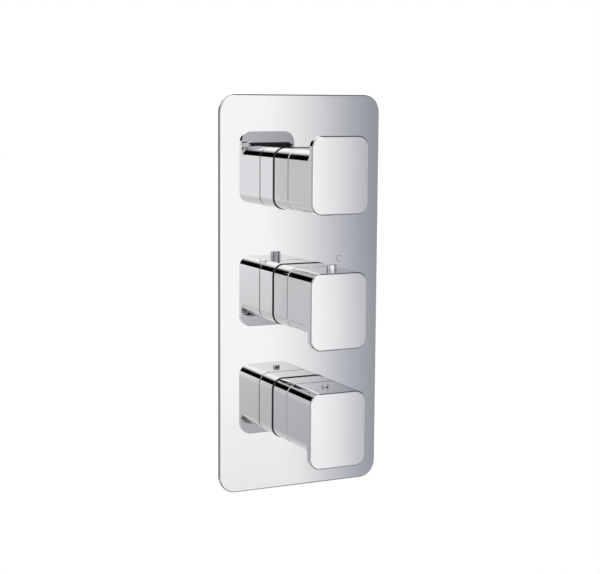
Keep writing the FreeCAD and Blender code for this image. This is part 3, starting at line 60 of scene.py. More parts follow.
# Where the pieces that scene.py adds to stand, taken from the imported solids.
PLATE_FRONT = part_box("faceplate")[0].y
PORT_END_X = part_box("valve_body")[1].x
PORT_END_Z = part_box("valve_body")[1].z
INLET_DEPTH = 40.0 * MM
OUTLET_DEPTH = 32.0 * MM

# The studio round the object, in metres.
SCREEN_DISTANCE = 2.2
SCREEN_WIDE, SCREEN_HIGH = 7.0, 4.6
FLOOR_DEPTH = 1.2
FLOOR_SIZE = 12.0


# ---------------------------------------------------------------------------
# Node helpers
# ---------------------------------------------------------------------------

class Nodes:
    """A node tree with short ways to add and join nodes."""

    def __init__(self, tree):
        self.tree = tree

    def add(self, kind, **inputs):
        node = self.tree.nodes.new(kind)
        for name, value in inputs.items():
            self.feed(node.inputs[name.replace("_", " ")], value)
        return node

    def feed(self, socket, value):
        if isinstance(value, bpy.types.NodeSocket):
            self.tree.links.new(value, socket)
        else:
            socket.default_value = value

    def math(self, operation, *values, clamp=False):
        node = self.tree.nodes.new("ShaderNodeMath")
        node.operation = operation
        node.use_clamp = clamp
        for socket, value in zip(node.inputs, values):
            self.feed(socket, value)
        return node.outputs[0]

    def ramp(self, source, low, high, start=0.0, end=1.0):
        """Carry a value from low..high smoothly to start..end, and hold it at both ends."""
        node = self.tree.nodes.new("ShaderNodeMapRange")
        node.interpolation_type = "SMOOTHSTEP"
        for name, value in (("From Min", low), ("From Max", high), ("To Min", start),
                            ("To Max", end), ("Value", source)):
            self.feed(node.inputs[name], value)
        return node.outputs["Result"]

    def mix(self, factor, first, second):
        node = self.tree.nodes.new("ShaderNodeMix")
        node.data_type = "RGBA"
        for socket, value in ((node.inputs["Factor"], factor), (node.inputs[6], first),
                              (node.inputs[7], second)):
            self.feed(socket, (*value, 1.0) if isinstance(value, tuple) else value)
        return node.outputs[2]

    def place(self):
        """The object's own coordinates, which are the object's frame in metres."""
        return self.add("ShaderNodeTexCoord").outputs["Object"]

    def split(self, vector):
        return self.add("ShaderNodeSeparateXYZ", Vector=vector).outputs

    def join(self, x=0.0, y=0.0, z=0.0):
        return self.add("ShaderNodeCombineXYZ", X=x, Y=y, Z=z).outputs[0]

    def noise(self, place, scale, detail=3.0, roughness=0.5):
        return self.add("ShaderNodeTexNoise", Vector=place, Scale=scale, Detail=detail,
                        Roughness=roughness).outputs[0]


def new_group(name, takes, gives):
    """A node group with named number inputs and outputs. takes is {name: default}."""
    tree = bpy.data.node_groups.new(name, "ShaderNodeTree")
    for title, default in takes.items():
        socket = tree.interface.new_socket(title, in_out="INPUT", socket_type="NodeSocketFloat")
        socket.default_value = default
    for title in gives:
        tree.interface.new_socket(title, in_out="OUTPUT", socket_type="NodeSocketFloat")
    nodes = Nodes(tree)
    return nodes, nodes.add("NodeGroupInput").outputs, nodes.add("NodeGroupOutput").inputs


def use_group(nodes, name, **values):
    node = nodes.tree.nodes.new("ShaderNodeGroup")
    node.node_tree = bpy.data.node_groups[name]
    for title, value in values.items():
        nodes.feed(node.inputs[title.replace("_", " ")], value)
    return node.outputs


# ---------------------------------------------------------------------------
# Effects that several finishes share
# ---------------------------------------------------------------------------

def build_cloudy_tone():
    """Soft patches over a finer grain, from 0 to 1: the uneven tone of any real surface."""
    nodes, takes, gives = new_group("cloudy_tone", {"Patch Scale": 20.0, "Grain Scale": 400.0},
                                    ("Patches", "Grain"))
    place = nodes.place()
    patches = nodes.noise(place, takes["Patch Scale"], detail=4.0)
    nodes.feed(gives["Patches"], nodes.ramp(patches, 0.3, 0.7))
    grain = nodes.noise(place, takes["Grain Scale"], detail=6.0, roughness=0.65)
    nodes.feed(gives["Grain"], nodes.ramp(grain, 0.25, 0.75))


def build_lathe_lines():
    """Fine tool lines round the depth axis, uneven like real turning."""
    nodes, takes, gives = new_group("lathe_lines", {"Pitch": 0.0003}, ("Height",))
    place = nodes.place()
    depth = nodes.split(place)["Y"]
    drift = nodes.math("MULTIPLY", nodes.noise(place, 60.0), 0.0006)
    turns = nodes.math("DIVIDE", nodes.math("ADD", depth, drift), takes["Pitch"])
    wave = nodes.math("SINE", nodes.math("MULTIPLY", turns, 2 * math.pi))
    chatter = nodes.noise(nodes.join(y=depth), 2500.0)
    height = nodes.math("ADD", nodes.math("MULTIPLY", wave, 0.3), chatter)
    nodes.feed(gives["Height"], height)


def build_pitted_skin():
    """The sandy skin of a casting or a moulding, as a height."""
    nodes, takes, gives = new_group("pitted_skin", {"Scale": 900.0}, ("Height",))
    place = nodes.place()
    coarse = nodes.noise(place, takes["Scale"], detail=5.0, roughness=0.6)
    cells = nodes.add("ShaderNodeTexVoronoi", Vector=place, Scale=takes["Scale"])
    grit = nodes.ramp(cells.outputs["Distance"], 0.0, 0.35)
    height = nodes.math("ADD", coarse, nodes.math("MULTIPLY", grit, 0.4))
    nodes.feed(gives["Height"], height)


# ---------------------------------------------------------------------------
# Finishes, one for each material slot of the record
# ---------------------------------------------------------------------------

def new_finish(name, **settings):
    """A material and its Principled BSDF. Settings stand on the shader's own sockets."""
    material = bpy.data.materials.new(name)
    material.use_nodes = True
    shader = material.node_tree.nodes["Principled BSDF"]
    for socket, value in settings.items():
        value = (*value, 1.0) if isinstance(value, tuple) else value
        shader.inputs[socket.replace("_", " ")].default_value = value
    return material, Nodes(material.node_tree), shader.inputs


def raise_skin(nodes, sockets, height, strength, distance):
    bump = nodes.add("ShaderNodeBump", Height=height, Strength=strength, Distance=distance)
    nodes.feed(sockets["Normal"], bump.outputs["Normal"])


CHROME_COLOUR = (0.703, 0.703, 0.716)
CASTING_DRAFT = math.radians(0.35)
FACE_DOME = 0.2
DOME_LEVEL_AT = 20.0 * MM
SIDE_FACING = (0.02, 0.3)
FRONT_FACING = (-0.999, -0.97)


def formed_normal(nodes, draft, dome):
    """The normals of a die casting that narrows to the front and has a slightly domed face.

    draft is the lean of the sides in radians, dome the lean of the face per metre across it."""
    facing = nodes.add("ShaderNodeTexCoord").outputs["Normal"]
    ahead = nodes.split(facing)["Y"]
    side = nodes.ramp(nodes.math("ABSOLUTE", ahead), *SIDE_FACING, 1.0, 0.0)
    face = nodes.ramp(ahead, *FRONT_FACING, 1.0, 0.0)
    across = nodes.math("SUBTRACT", nodes.split(nodes.place())["X"], DOME_LEVEL_AT)
    lean = nodes.join(x=nodes.math("MULTIPLY", face, nodes.math("MULTIPLY", across, dome)),
                      y=nodes.math("MULTIPLY", side, -draft))
    bent = nodes.tree.nodes.new("ShaderNodeVectorMath")
    nodes.feed(bent.inputs[0], facing)
    nodes.feed(bent.inputs[1], lean)
    turned = nodes.add("ShaderNodeVectorTransform", Vector=bent.outputs[0])
    turned.vector_type = "NORMAL"
    turned.convert_from, turned.convert_to = "OBJECT", "WORLD"
    return turned.outputs[0]


def polished_chrome(name, gloss=0.012, wiped=0.022, draft=0.0, dome=0.0):
    """Bright plated chrome, with the faint cloudiness that wiping leaves."""
    material, nodes, sockets = new_finish(name, Metallic=1.0)
    tone = use_group(nodes, "cloudy_tone", Patch_Scale=35.0, Grain_Scale=1800.0)
    marks = nodes.math("MULTIPLY", tone["Patches"], tone["Grain"])
    nodes.feed(sockets["Roughness"], nodes.ramp(marks, 0.0, 1.0, gloss, gloss + wiped))
    dimmed = tuple(value * 0.985 for value in CHROME_COLOUR)
    nodes.feed(sockets["Base Color"], nodes.mix(tone["Patches"], CHROME_COLOUR, dimmed))
    if draft or dome:
        nodes.feed(sockets["Normal"], formed_normal(nodes, draft, dome))
    return material


def soft_rubber(name, colour, bloom, rough, pitting, scale):
    """Moulded rubber with a greyish bloom in patches."""
    material, nodes, sockets = new_finish(name, Specular_IOR_Level=0.4)
    tone = use_group(nodes, "cloudy_tone", Patch_Scale=90.0, Grain_Scale=1500.0)
    nodes.feed(sockets["Base Color"], nodes.mix(tone["Patches"], colour, bloom))
    nodes.feed(sockets["Roughness"], nodes.ramp(tone["Grain"], 0.0, 1.0, rough, rough + 0.15))
    skin = use_group(nodes, "pitted_skin", Scale=scale)
    raise_skin(nodes, sockets, skin["Height"], pitting, 0.0002)
    return material


MACHINED_DEEP = 0.3 * MM
BODY_FRONT_RIM = 3.3 * MM
BODY_BACK_RIM = 75.7 * MM


def machined_mask(nodes):
    """1 on the faces of the casting that a cutter has cleaned: the front rims and port ends."""
    place = nodes.split(nodes.place())
    aside, upright = (nodes.math("ABSOLUTE", place[axis]) for axis in "XZ")
    ends = [nodes.math("GREATER_THAN", aside, PORT_END_X - MACHINED_DEEP),
            nodes.math("GREATER_THAN", upright, PORT_END_Z - MACHINED_DEEP),
            nodes.math("LESS_THAN", place["Y"], BODY_FRONT_RIM),
            nodes.math("GREATER_THAN", place["Y"], BODY_BACK_RIM)]
    mask = ends[0]
    for end in ends[1:]:
        mask = nodes.math("MAXIMUM", mask, end)
    return mask


def cast_brass(name):
    """Sand-cast brass, dull and pitted, bright only where it has been machined."""
    material, nodes, sockets = new_finish(name, Metallic=1.0)
    tone = use_group(nodes, "cloudy_tone", Patch_Scale=45.0, Grain_Scale=700.0)
    dull = nodes.mix(tone["Patches"], (0.58, 0.42, 0.20), (0.70, 0.54, 0.29))
    speckled = nodes.mix(nodes.math("MULTIPLY", tone["Grain"], 0.35), dull, (0.45, 0.31, 0.15))
    machined = machined_mask(nodes)
    nodes.feed(sockets["Base Color"], nodes.mix(machined, speckled, (0.86, 0.68, 0.38)))
    rough = nodes.ramp(tone["Grain"], 0.0, 1.0, 0.42, 0.62)
    smoother = nodes.math("MULTIPLY", machined, 0.25)
    nodes.feed(sockets["Roughness"], nodes.math("SUBTRACT", rough, smoother))
    skin = use_group(nodes, "pitted_skin", Scale=850.0)
    height = nodes.math("MULTIPLY", skin["Height"], nodes.math("SUBTRACT", 1.0, machined))
    raise_skin(nodes, sockets, height, 0.55, 0.0004)
    return material


def turned_metal(name, colour, stained, rough, pitch):
    """Bar stock turned on a lathe, with fine lines round it."""
    material, nodes, sockets = new_finish(name, Metallic=1.0)
    tone = use_group(nodes, "cloudy_tone", Patch_Scale=70.0, Grain_Scale=900.0)
    nodes.feed(sockets["Base Color"], nodes.mix(tone["Patches"], colour, stained))
    nodes.feed(sockets["Roughness"], nodes.ramp(tone["Grain"], 0.0, 1.0, rough, rough + 0.12))
    lines = use_group(nodes, "lathe_lines", Pitch=pitch)
    raise_skin(nodes, sockets, lines["Height"], 0.25, 0.00003)
    return material


def drawn_steel(name, colour, rough):
    """Hardened steel wire or a screw, with a little oil on it."""
    material, nodes, sockets = new_finish(name, Metallic=1.0)
    tone = use_group(nodes, "cloudy_tone", Patch_Scale=120.0, Grain_Scale=1600.0)
    darker = tuple(value * 0.8 for value in colour)
    nodes.feed(sockets["Base Color"], nodes.mix(tone["Patches"], colour, darker))
    nodes.feed(sockets["Roughness"], nodes.ramp(tone["Grain"], 0.0, 1.0, rough, rough + 0.2))
    raise_skin(nodes, sockets, tone["Grain"], 0.15, 0.00005)
    return material


def zinc_sheet(name):
    """Zinc-plated sheet steel, with the crystal flowers of its coating."""
    material, nodes, sockets = new_finish(name, Metallic=1.0)
    place = nodes.place()
    flowers = nodes.add("ShaderNodeTexVoronoi", Vector=place, Scale=140.0).outputs["Color"]
    shade = nodes.split(flowers)["X"]
    tone = use_group(nodes, "cloudy_tone", Patch_Scale=30.0, Grain_Scale=600.0)
    plated = nodes.mix(shade, (0.60, 0.62, 0.64), (0.70, 0.71, 0.72))
    yellowed = nodes.math("MULTIPLY", tone["Patches"], 0.3)
    nodes.feed(sockets["Base Color"], nodes.mix(yellowed, plated, (0.66, 0.64, 0.56)))
    nodes.feed(sockets["Roughness"], nodes.ramp(shade, 0.0, 1.0, 0.30, 0.45))
    raise_skin(nodes, sockets, tone["Grain"], 0.2, 0.00008)
    return material


def lapped_ceramic(name):
    """Dense white alumina, lapped to a mirror, with tiny grey specks."""
    material, nodes, sockets = new_finish(name, Coat_Weight=0.3, Coat_Roughness=0.05)
    tone = use_group(nodes, "cloudy_tone", Patch_Scale=60.0, Grain_Scale=1400.0)
    white = nodes.mix(tone["Patches"], (0.90, 0.89, 0.86), (0.86, 0.85, 0.81))
    specks = nodes.ramp(tone["Grain"], 0.86, 0.96)
    nodes.feed(sockets["Base Color"], nodes.mix(specks, white, (0.55, 0.54, 0.52)))
    nodes.feed(sockets["Roughness"], nodes.ramp(tone["Patches"], 0.0, 1.0, 0.10, 0.2))
    return material


def moulded_plastic(name, colour, flowed, rough):
    """Injection-moulded plastic with flow marks and a fine sparked texture."""
    material, nodes, sockets = new_finish(name)
    tone = use_group(nodes, "cloudy_tone", Patch_Scale=50.0, Grain_Scale=1100.0)
    nodes.feed(sockets["Base Color"], nodes.mix(tone["Patches"], colour, flowed))
    nodes.feed(sockets["Roughness"], nodes.ramp(tone["Grain"], 0.0, 1.0, rough, rough + 0.12))
    skin = use_group(nodes, "pitted_skin", Scale=1800.0)
    raise_skin(nodes, sockets, skin["Height"], 0.2, 0.0001)
    return material


def etched_mark(name):
    """The matt grey-beige of the hot and cold letters etched into the plate."""
    material, nodes, sockets = new_finish(name)
    tone = use_group(nodes, "cloudy_tone", Patch_Scale=300.0, Grain_Scale=3000.0)
    beige = nodes.mix(tone["Patches"], (0.34, 0.31, 0.27), (0.40, 0.37, 0.32))
    nodes.feed(sockets["Base Color"], beige)
    nodes.feed(sockets["Roughness"], nodes.ramp(tone["Grain"], 0.0, 1.0, 0.5, 0.7))
    return material


def build_finishes():
    build_cloudy_tone()
    build_lathe_lines()
    build_pitted_skin()
    return {
        "plate_chrome": polished_chrome("finish_plate_chrome"),
        "sleeve_chrome": polished_chrome("finish_sleeve_chrome", draft=CASTING_DRAFT),
        "knob_chrome": polished_chrome("finish_knob_chrome", draft=CASTING_DRAFT, dome=FACE_DOME),
        "button_chrome": polished_chrome("finish_button_chrome", gloss=0.02, wiped=0.04),
        "joint_rubber": soft_rubber("finish_joint_rubber", (0.012, 0.012, 0.013),
                                    (0.022, 0.022, 0.022), 0.6, 0.25, 2200.0),
        "foam_rubber": soft_rubber("finish_foam_rubber", (0.045, 0.045, 0.047),
                                   (0.075, 0.075, 0.075), 0.85, 0.9, 1400.0),
        "seal_rubber": soft_rubber("finish_seal_rubber", (0.014, 0.014, 0.016),
                                   (0.03, 0.03, 0.03), 0.28, 0.15, 2600.0),
        "cast_brass": cast_brass("finish_cast_brass"),
        "turned_brass": turned_metal("finish_turned_brass", (0.84, 0.66, 0.36), (0.76, 0.57, 0.29),
                                     0.16, 0.0003),
        "copper_capsule": turned_metal("finish_copper_capsule", (0.84, 0.48, 0.32),
                                       (0.70, 0.38, 0.26), 0.22, 0.0004),
        "spring_steel": drawn_steel("finish_spring_steel", (0.60, 0.61, 0.62), 0.22),
        "screw_steel": drawn_steel("finish_screw_steel", (0.50, 0.51, 0.53), 0.25),
        "sheet_steel": zinc_sheet("finish_sheet_steel"),
        "disc_ceramic": lapped_ceramic("finish_disc_ceramic"),
        "white_plastic": moulded_plastic("finish_white_plastic", (0.80, 0.80, 0.77),
                                         (0.74, 0.74, 0.71), 0.34),
        "black_plastic": moulded_plastic("finish_black_plastic", (0.025, 0.025, 0.027),
                                         (0.035, 0.035, 0.036), 0.38),
    }


def finish_nodes(finishes):
    """Give every CAD node the finish of the slot that it was packed with."""
    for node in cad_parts.values():
        for slot in node.material_slots:
            slot.material = finishes[slot.material.name.split(".")[0]]


# ---------------------------------------------------------------------------
# Pieces that the solids leave to this script
# ---------------------------------------------------------------------------

MARK_STROKE = 0.50 * MM
MARK_HIGH = 4.7 * MM
MARK_WIDE = 4.5 * MM
MARK_PROUD = 0.02 * MM
HOT_PLACE = Vector((-31.3, 0.0, 25.6)) * MM
COLD_PLACE = Vector((32.8, 0.0, 25.3)) * MM
COLD_OPENING = 48
COLD_STEPS = 22


def finish_piece(piece, body, finish):
    bpy.context.scene.collection.objects.link(piece)
    piece.data.materials.append(finish)
    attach(piece, body)


def mesh_of(shape, name):
    """The mesh of a finished shape, with its faces turned outwards."""
    bmesh.ops.recalc_face_normals(shape, faces=shape.faces)
    mesh = bpy.data.meshes.new(name)
    shape.to_mesh(mesh)
    shape.free()
    return mesh


def stroke(shape, start, end):
    """A thin flat bar on the plate between two points of its plane."""
    along = (end - start).normalized()
    across = Vector((-along.z, 0.0, along.x)) * MARK_STROKE / 2
    rim = [start - across, end - across, end + across, start + across]
    lift = Vector((0.0, PLATE_FRONT - MARK_PROUD, 0.0))
    sunk = Vector((0.0, PLATE_FRONT + MARK_PROUD, 0.0))
    front = [shape.verts.new(point + lift) for point in rim]
    back = [shape.verts.new(point + sunk) for point in rim]
    shape.faces.new(front)
    shape.faces.new(back[::-1])
    for index in range(4):
        after = (index + 1) % 4
        shape.faces.new((front[index], back[index], back[after], front[after]))


def letter(name, strokes, finish):
    shape = bmesh.new()
    for start, end in strokes:
        stroke(shape, start, end)
    mesh = mesh_of(shape, name)
    finish_piece(bpy.data.objects.new(name, mesh), "valve_and_plate", finish)


def hot_letter(finish):
    half = Vector((MARK_WIDE / 2, 0.0, 0.0))
    top = Vector((0.0, 0.0, MARK_HIGH / 2))
    inset = Vector((MARK_STROKE / 2, 0.0, 0.0))
    letter("hot_letter", [
        (HOT_PLACE - half - top, HOT_PLACE - half + top),
        (HOT_PLACE + half - top, HOT_PLACE + half + top),
        (HOT_PLACE - half + inset, HOT_PLACE + half - inset),
    ], finish)


def cold_letter(finish):
    """A round C, open on its right for COLD_OPENING degrees above and below the level."""
    bow = 360 - 2 * COLD_OPENING
    turns = [math.radians(COLD_OPENING + bow * step / COLD_STEPS) for step in range(COLD_STEPS + 1)]
    points = [COLD_PLACE + Vector((MARK_WIDE / 2 * math.cos(turn), 0.0,
                                   MARK_HIGH / 2 * math.sin(turn))) for turn in turns]
    letter("cold_letter", list(zip(points, points[1:])), finish)


LIP_HIGH = 0.85 * MM
LIP_PROUD = 0.45 * MM
LIP_TUCKED = 0.4 * MM
LIP_OFF_PLATE = 0.01 * MM
SLEEVE_CORNER = 8.5 * MM
CORNER_STEPS = 10


def square_ring(shape, middle, half, corner, depth):
    """One closed loop of a square with round corners, facing the front."""
    ring = []
    for quarter, (side, rise) in enumerate(((1, 1), (-1, 1), (-1, -1), (1, -1))):
        centre = Vector((side * (half - corner), depth, middle + rise * (half - corner)))
        for step in range(CORNER_STEPS + 1):
            turn = math.radians(90 * (quarter + step / CORNER_STEPS))
            out = Vector((math.cos(turn), 0.0, math.sin(turn)))
            ring.append(shape.verts.new(centre + out * corner))
    return ring


def join_rings(shape, rings):
    for before, after in zip(rings, rings[1:]):
        count = len(before)
        for index in range(count):
            next_index = (index + 1) % count
            shape.faces.new((before[index], before[next_index], after[next_index], after[index]))


def gasket_lip(name, sleeve, finish):
    """The thin edge of the joint that squeezes out between a sleeve and the plate."""
    low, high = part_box(sleeve)
    middle, half = (low.z + high.z) / 2, (high.z - low.z) / 2
    shape = bmesh.new()
    back, front = PLATE_FRONT - LIP_OFF_PLATE, PLATE_FRONT - LIP_HIGH
    rings = [square_ring(shape, middle, half + grow, SLEEVE_CORNER + grow, depth)
             for grow, depth in ((-LIP_TUCKED, back), (LIP_PROUD, back),
                                 (LIP_PROUD, front), (-LIP_TUCKED, front))]
    join_rings(shape, rings + rings[:1])
    mesh = mesh_of(shape, name)
    finish_piece(bpy.data.objects.new(name, mesh), "valve_and_plate", finish)


PLUG_RADIUS = 2.62 * MM
PLUG_HIGH = 1.9 * MM
PLUG_DEPTH = -45.7 * MM
PLUG_STEPS = 40
# The plug's outline from its stem up: how far inside PLUG_RADIUS, and the height over its foot.
PLUG_STEM = ((0.35, -1.5), (0.35, -0.05), (0.0, 0.0))
# Its rounded top: how far inside PLUG_RADIUS, and how far under PLUG_HIGH.
PLUG_ROUNDING = ((0.0, 0.50), (0.04, 0.31), (0.15, 0.15), (0.31, 0.04), (0.50, 0.0))


def screw_plug(name, body, foot, rise, finish):
    """The little cap over a knob's grub screw. foot is the height of its foot, rise +1 or -1."""
    outline = [(PLUG_RADIUS - inset * MM, height * MM) for inset, height in PLUG_STEM]
    outline += [(PLUG_RADIUS - inset * MM, PLUG_HIGH - under * MM)
                for inset, under in PLUG_ROUNDING]
    turns = [2 * math.pi * step / PLUG_STEPS for step in range(PLUG_STEPS)]
    shape = bmesh.new()
    rings = [[shape.verts.new((radius * math.cos(turn), PLUG_DEPTH + radius * math.sin(turn),
                               foot + rise * height)) for turn in turns]
             for radius, height in outline]
    join_rings(shape, rings)
    shape.faces.new(rings[0])
    shape.faces.new(rings[-1])
    mesh = mesh_of(shape, name)
    for face in mesh.polygons:
        face.use_smooth = len(face.vertices) == 4
    finish_piece(bpy.data.objects.new(name, mesh), body, finish)


THREAD_PITCH = 1.814 * MM
THREAD_RIDGE = 0.35 * MM
THREAD_LONG = 9.6 * MM
PORT_RADIUS = 9.35 * MM
THREAD_START = 0.9 * MM
THREAD_SUNK = 0.02 * MM
THREAD_STEPS = 48
# Half the width of a crest at its root and at its top, as a share of the pitch.
CREST_ROOT, CREST_TOP = 0.42, 0.08


def port_thread(name, mouth, inwards, finish):
    """The crests of a pipe thread, wound down the wall of one port."""
    side = Vector((0.0, 1.0, 0.0))
    across = inwards.cross(side)
    steps = int(THREAD_LONG / THREAD_PITCH * THREAD_STEPS)
    shape = bmesh.new()
    sections = []
    for step in range(steps + 1):
        turn = 2 * math.pi * step / THREAD_STEPS
        out = side * math.cos(turn) + across * math.sin(turn)
        depth = THREAD_START + THREAD_PITCH * step / THREAD_STEPS
        taper = min(1.0, step / THREAD_STEPS, (steps - step) / THREAD_STEPS)
        wall, crest = PORT_RADIUS + THREAD_SUNK, PORT_RADIUS - THREAD_RIDGE * taper
        profile = ((wall, -CREST_ROOT), (crest, -CREST_TOP),
                   (crest, CREST_TOP), (wall, CREST_ROOT))
        sections.append([
            shape.verts.new(mouth + inwards * (depth + THREAD_PITCH * slope) + out * radius)
            for radius, slope in profile])
    for before, after in zip(sections, sections[1:]):
        for low in range(4):
            high = (low + 1) % 4
            shape.faces.new((before[low], before[high], after[high], after[low]))
    shape.faces.new(sections[0][::-1])
    shape.faces.new(sections[-1])
    mesh = mesh_of(shape, name)
    finish_piece(bpy.data.objects.new(name, mesh), "valve_and_plate", finish)


def add_port_threads(finish):
    ports = (("hot_inlet_thread", Vector((-PORT_END_X, INLET_DEPTH, 0.0)), Vector((1, 0, 0))),
             ("cold_inlet_thread", Vector((PORT_END_X, INLET_DEPTH, 0.0)), Vector((-1, 0, 0))),
             ("upper_outlet_thread", Vector((0.0, OUTLET_DEPTH, PORT_END_Z)), Vector((0, 0, -1))),
             ("lower_outlet_thread", Vector((0.0, OUTLET_DEPTH, -PORT_END_Z)), Vector((0, 0, 1))))
    for name, mouth, inwards in ports:
        port_thread(name, mouth, inwards, finish)


def squeezed_coil(name, node, body):
    """A copy of a spring's CAD mesh, carried by body, with the CAD node hidden; it keeps its rest
    length."""
    coil = bpy.data.objects.new(name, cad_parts[node].data.copy())
    bpy.context.scene.collection.objects.link(coil)
    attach(coil, body)
    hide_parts(node)
    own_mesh(coil)


def add_coils():
    squeezed_coil("hot_check_coil", "hot_check_spring", "valve_and_plate")
    squeezed_coil("cold_check_coil", "cold_check_spring", "valve_and_plate")
    squeezed_coil("stop_button_coil", "stop_spring", "temperature_handle")
    squeezed_coil("return_coil", "return_spring", "valve_and_plate")


# ---------------------------------------------------------------------------
# Studio
# ---------------------------------------------------------------------------

def flat_sheet(name, corners, material):
    mesh = bpy.data.meshes.new(name)
    mesh.from_pydata(corners, [], [(0, 1, 2, 3)])
    sheet = bpy.data.objects.new(name, mesh)
    sheet.data.materials.append(material)
    bpy.context.scene.collection.objects.link(sheet)
    return sheet


def seen_by(thing, **kinds):
    """Let only the named kinds of ray see a stage piece."""
    for kind in ("camera", "diffuse", "glossy", "transmission", "volume_scatter", "shadow"):
        setattr(thing, f"visible_{kind}", kinds.get(kind, False))


# The screen's light, by the distance across it or up it from its middle. A fade is a pair of
# distances, and levels are the strengths at its two ends.
RIGHT_FADE, RIGHT_LEVELS = (0.93, 1.35), (1.30, 0.40)
RIGHT_CAP_UP, RIGHT_CAP = (-0.95, 0.0), (1.12, 1.60)
RIGHT_SHIFT_UP, RIGHT_SHIFT = (-0.45, -0.1), 0.018
RIGHT_END, RIGHT_END_LEVEL = (1.5, 2.1), 1.4
TOP_LIFT_UP, TOP_LIFT = (0.5, 0.9), 0.30
LEFT_FADE, LEFT_LEVELS = (1.00, 1.12), (1.40, 1.05)
LEFT_CAP_UP, LEFT_CAP = (-0.75, 0.0), (0.88, 1.50)
LEFT_CAP_ACROSS, LEFT_CAP_RISE = (-0.98, -0.70), 0.16
CAP_BLEND = 0.12
MIDDLE = (-0.4, 0.4)
# Where the light is bluish: the right end, and weaker the lower left.
WHITE_LIGHT, BLUE_LIGHT = (1.0, 1.0, 1.0), (0.89, 0.918, 1.0)
BLUE_FADE = (1.06, 1.26)
LOW_BLUE_ACROSS, LOW_BLUE_UP, LOW_BLUE = (-1.10, -1.02), (-0.6, -0.3), 0.5
# The black flag: the turns of its two edges in degrees, and where it starts and ends outwards.
FLAG_SOFT_EDGE = (92.0, 122.0)
FLAG_HARD_EDGE = (160.0, 164.0)
FLAG_NEAR, FLAG_FAR = (0.55, 0.80), (1.45, 1.80)


def screen_material():
    """The big soft screen in front: brightest in the middle, with a flag at its upper left."""
    material = bpy.data.materials.new("studio_screen")
    material.use_nodes = True
    nodes = Nodes(material.node_tree)
    material.node_tree.nodes.clear()
    place = nodes.split(nodes.place())
    across, up = place["X"], place["Z"]
    shifted = nodes.math("SUBTRACT", across, nodes.ramp(up, *RIGHT_SHIFT_UP, RIGHT_SHIFT, 0.0))
    right_level = nodes.math("SMOOTH_MIN", nodes.ramp(shifted, *RIGHT_FADE, *RIGHT_LEVELS),
                             nodes.ramp(up, *RIGHT_CAP_UP, *RIGHT_CAP), CAP_BLEND)
    right_level = nodes.math("MULTIPLY", right_level,
                             nodes.ramp(up, *TOP_LIFT_UP, 1.0, 1.0 + TOP_LIFT))
    left_level = nodes.ramp(nodes.math("MULTIPLY", across, -1.0), *LEFT_FADE, *LEFT_LEVELS)
    left_cap = nodes.math("ADD", nodes.ramp(up, *LEFT_CAP_UP, *LEFT_CAP),
                          nodes.ramp(across, *LEFT_CAP_ACROSS, 0.0, LEFT_CAP_RISE))
    left_level = nodes.math("SMOOTH_MIN", left_level, left_cap, CAP_BLEND)
    is_left = nodes.ramp(across, *MIDDLE, 1.0, 0.0)
    level = nodes.math("ADD", nodes.math("MULTIPLY", left_level, is_left),
                       nodes.math("MULTIPLY", right_level, nodes.math("SUBTRACT", 1.0, is_left)))
    level = nodes.math("MULTIPLY", level, flag_shade(nodes, across, up))
    level = nodes.math("MULTIPLY", level, nodes.ramp(across, *RIGHT_END, 1.0, RIGHT_END_LEVEL))
    low_left = nodes.math("MULTIPLY", nodes.ramp(across, *LOW_BLUE_ACROSS, 1.0, 0.0),
                          nodes.ramp(up, *LOW_BLUE_UP, LOW_BLUE, 0.0))
    blue = nodes.math("MAXIMUM", nodes.ramp(across, *BLUE_FADE), low_left)
    colour = nodes.mix(blue, WHITE_LIGHT, BLUE_LIGHT)
    glow = nodes.add("ShaderNodeEmission", Color=colour, Strength=level).outputs[0]
    output = nodes.add("ShaderNodeOutputMaterial")
    nodes.feed(output.inputs["Surface"], glow)
    return material


def flag_shade(nodes, across, up):
    """0 behind the flag, 1 beside it. The flag is a wedge of a ring about the screen's middle."""
    turn = nodes.math("DEGREES", nodes.math("ARCTAN2", up, across))
    span = nodes.math("SQRT", nodes.math("ADD", nodes.math("MULTIPLY", across, across),
                                         nodes.math("MULTIPLY", up, up)))
    dark = nodes.math("MULTIPLY", nodes.ramp(turn, *FLAG_SOFT_EDGE),
                      nodes.ramp(turn, *FLAG_HARD_EDGE, 1.0, 0.0))
    dark = nodes.math("MULTIPLY", dark, nodes.ramp(span, *FLAG_NEAR))
    dark = nodes.math("MULTIPLY", dark, nodes.ramp(span, *FLAG_FAR, 1.0, 0.0))
    return nodes.math("SUBTRACT", 1.0, dark)


def front_screen():
    half, high = SCREEN_WIDE / 2, SCREEN_HIGH / 2
    corners = [(-half, 0, -high), (half, 0, -high), (half, 0, high), (-half, 0, high)]
    screen = flat_sheet("front_screen", corners, screen_material())
    screen.location = (0.0, -SCREEN_DISTANCE, 0.0)
    seen_by(screen, glossy=True)


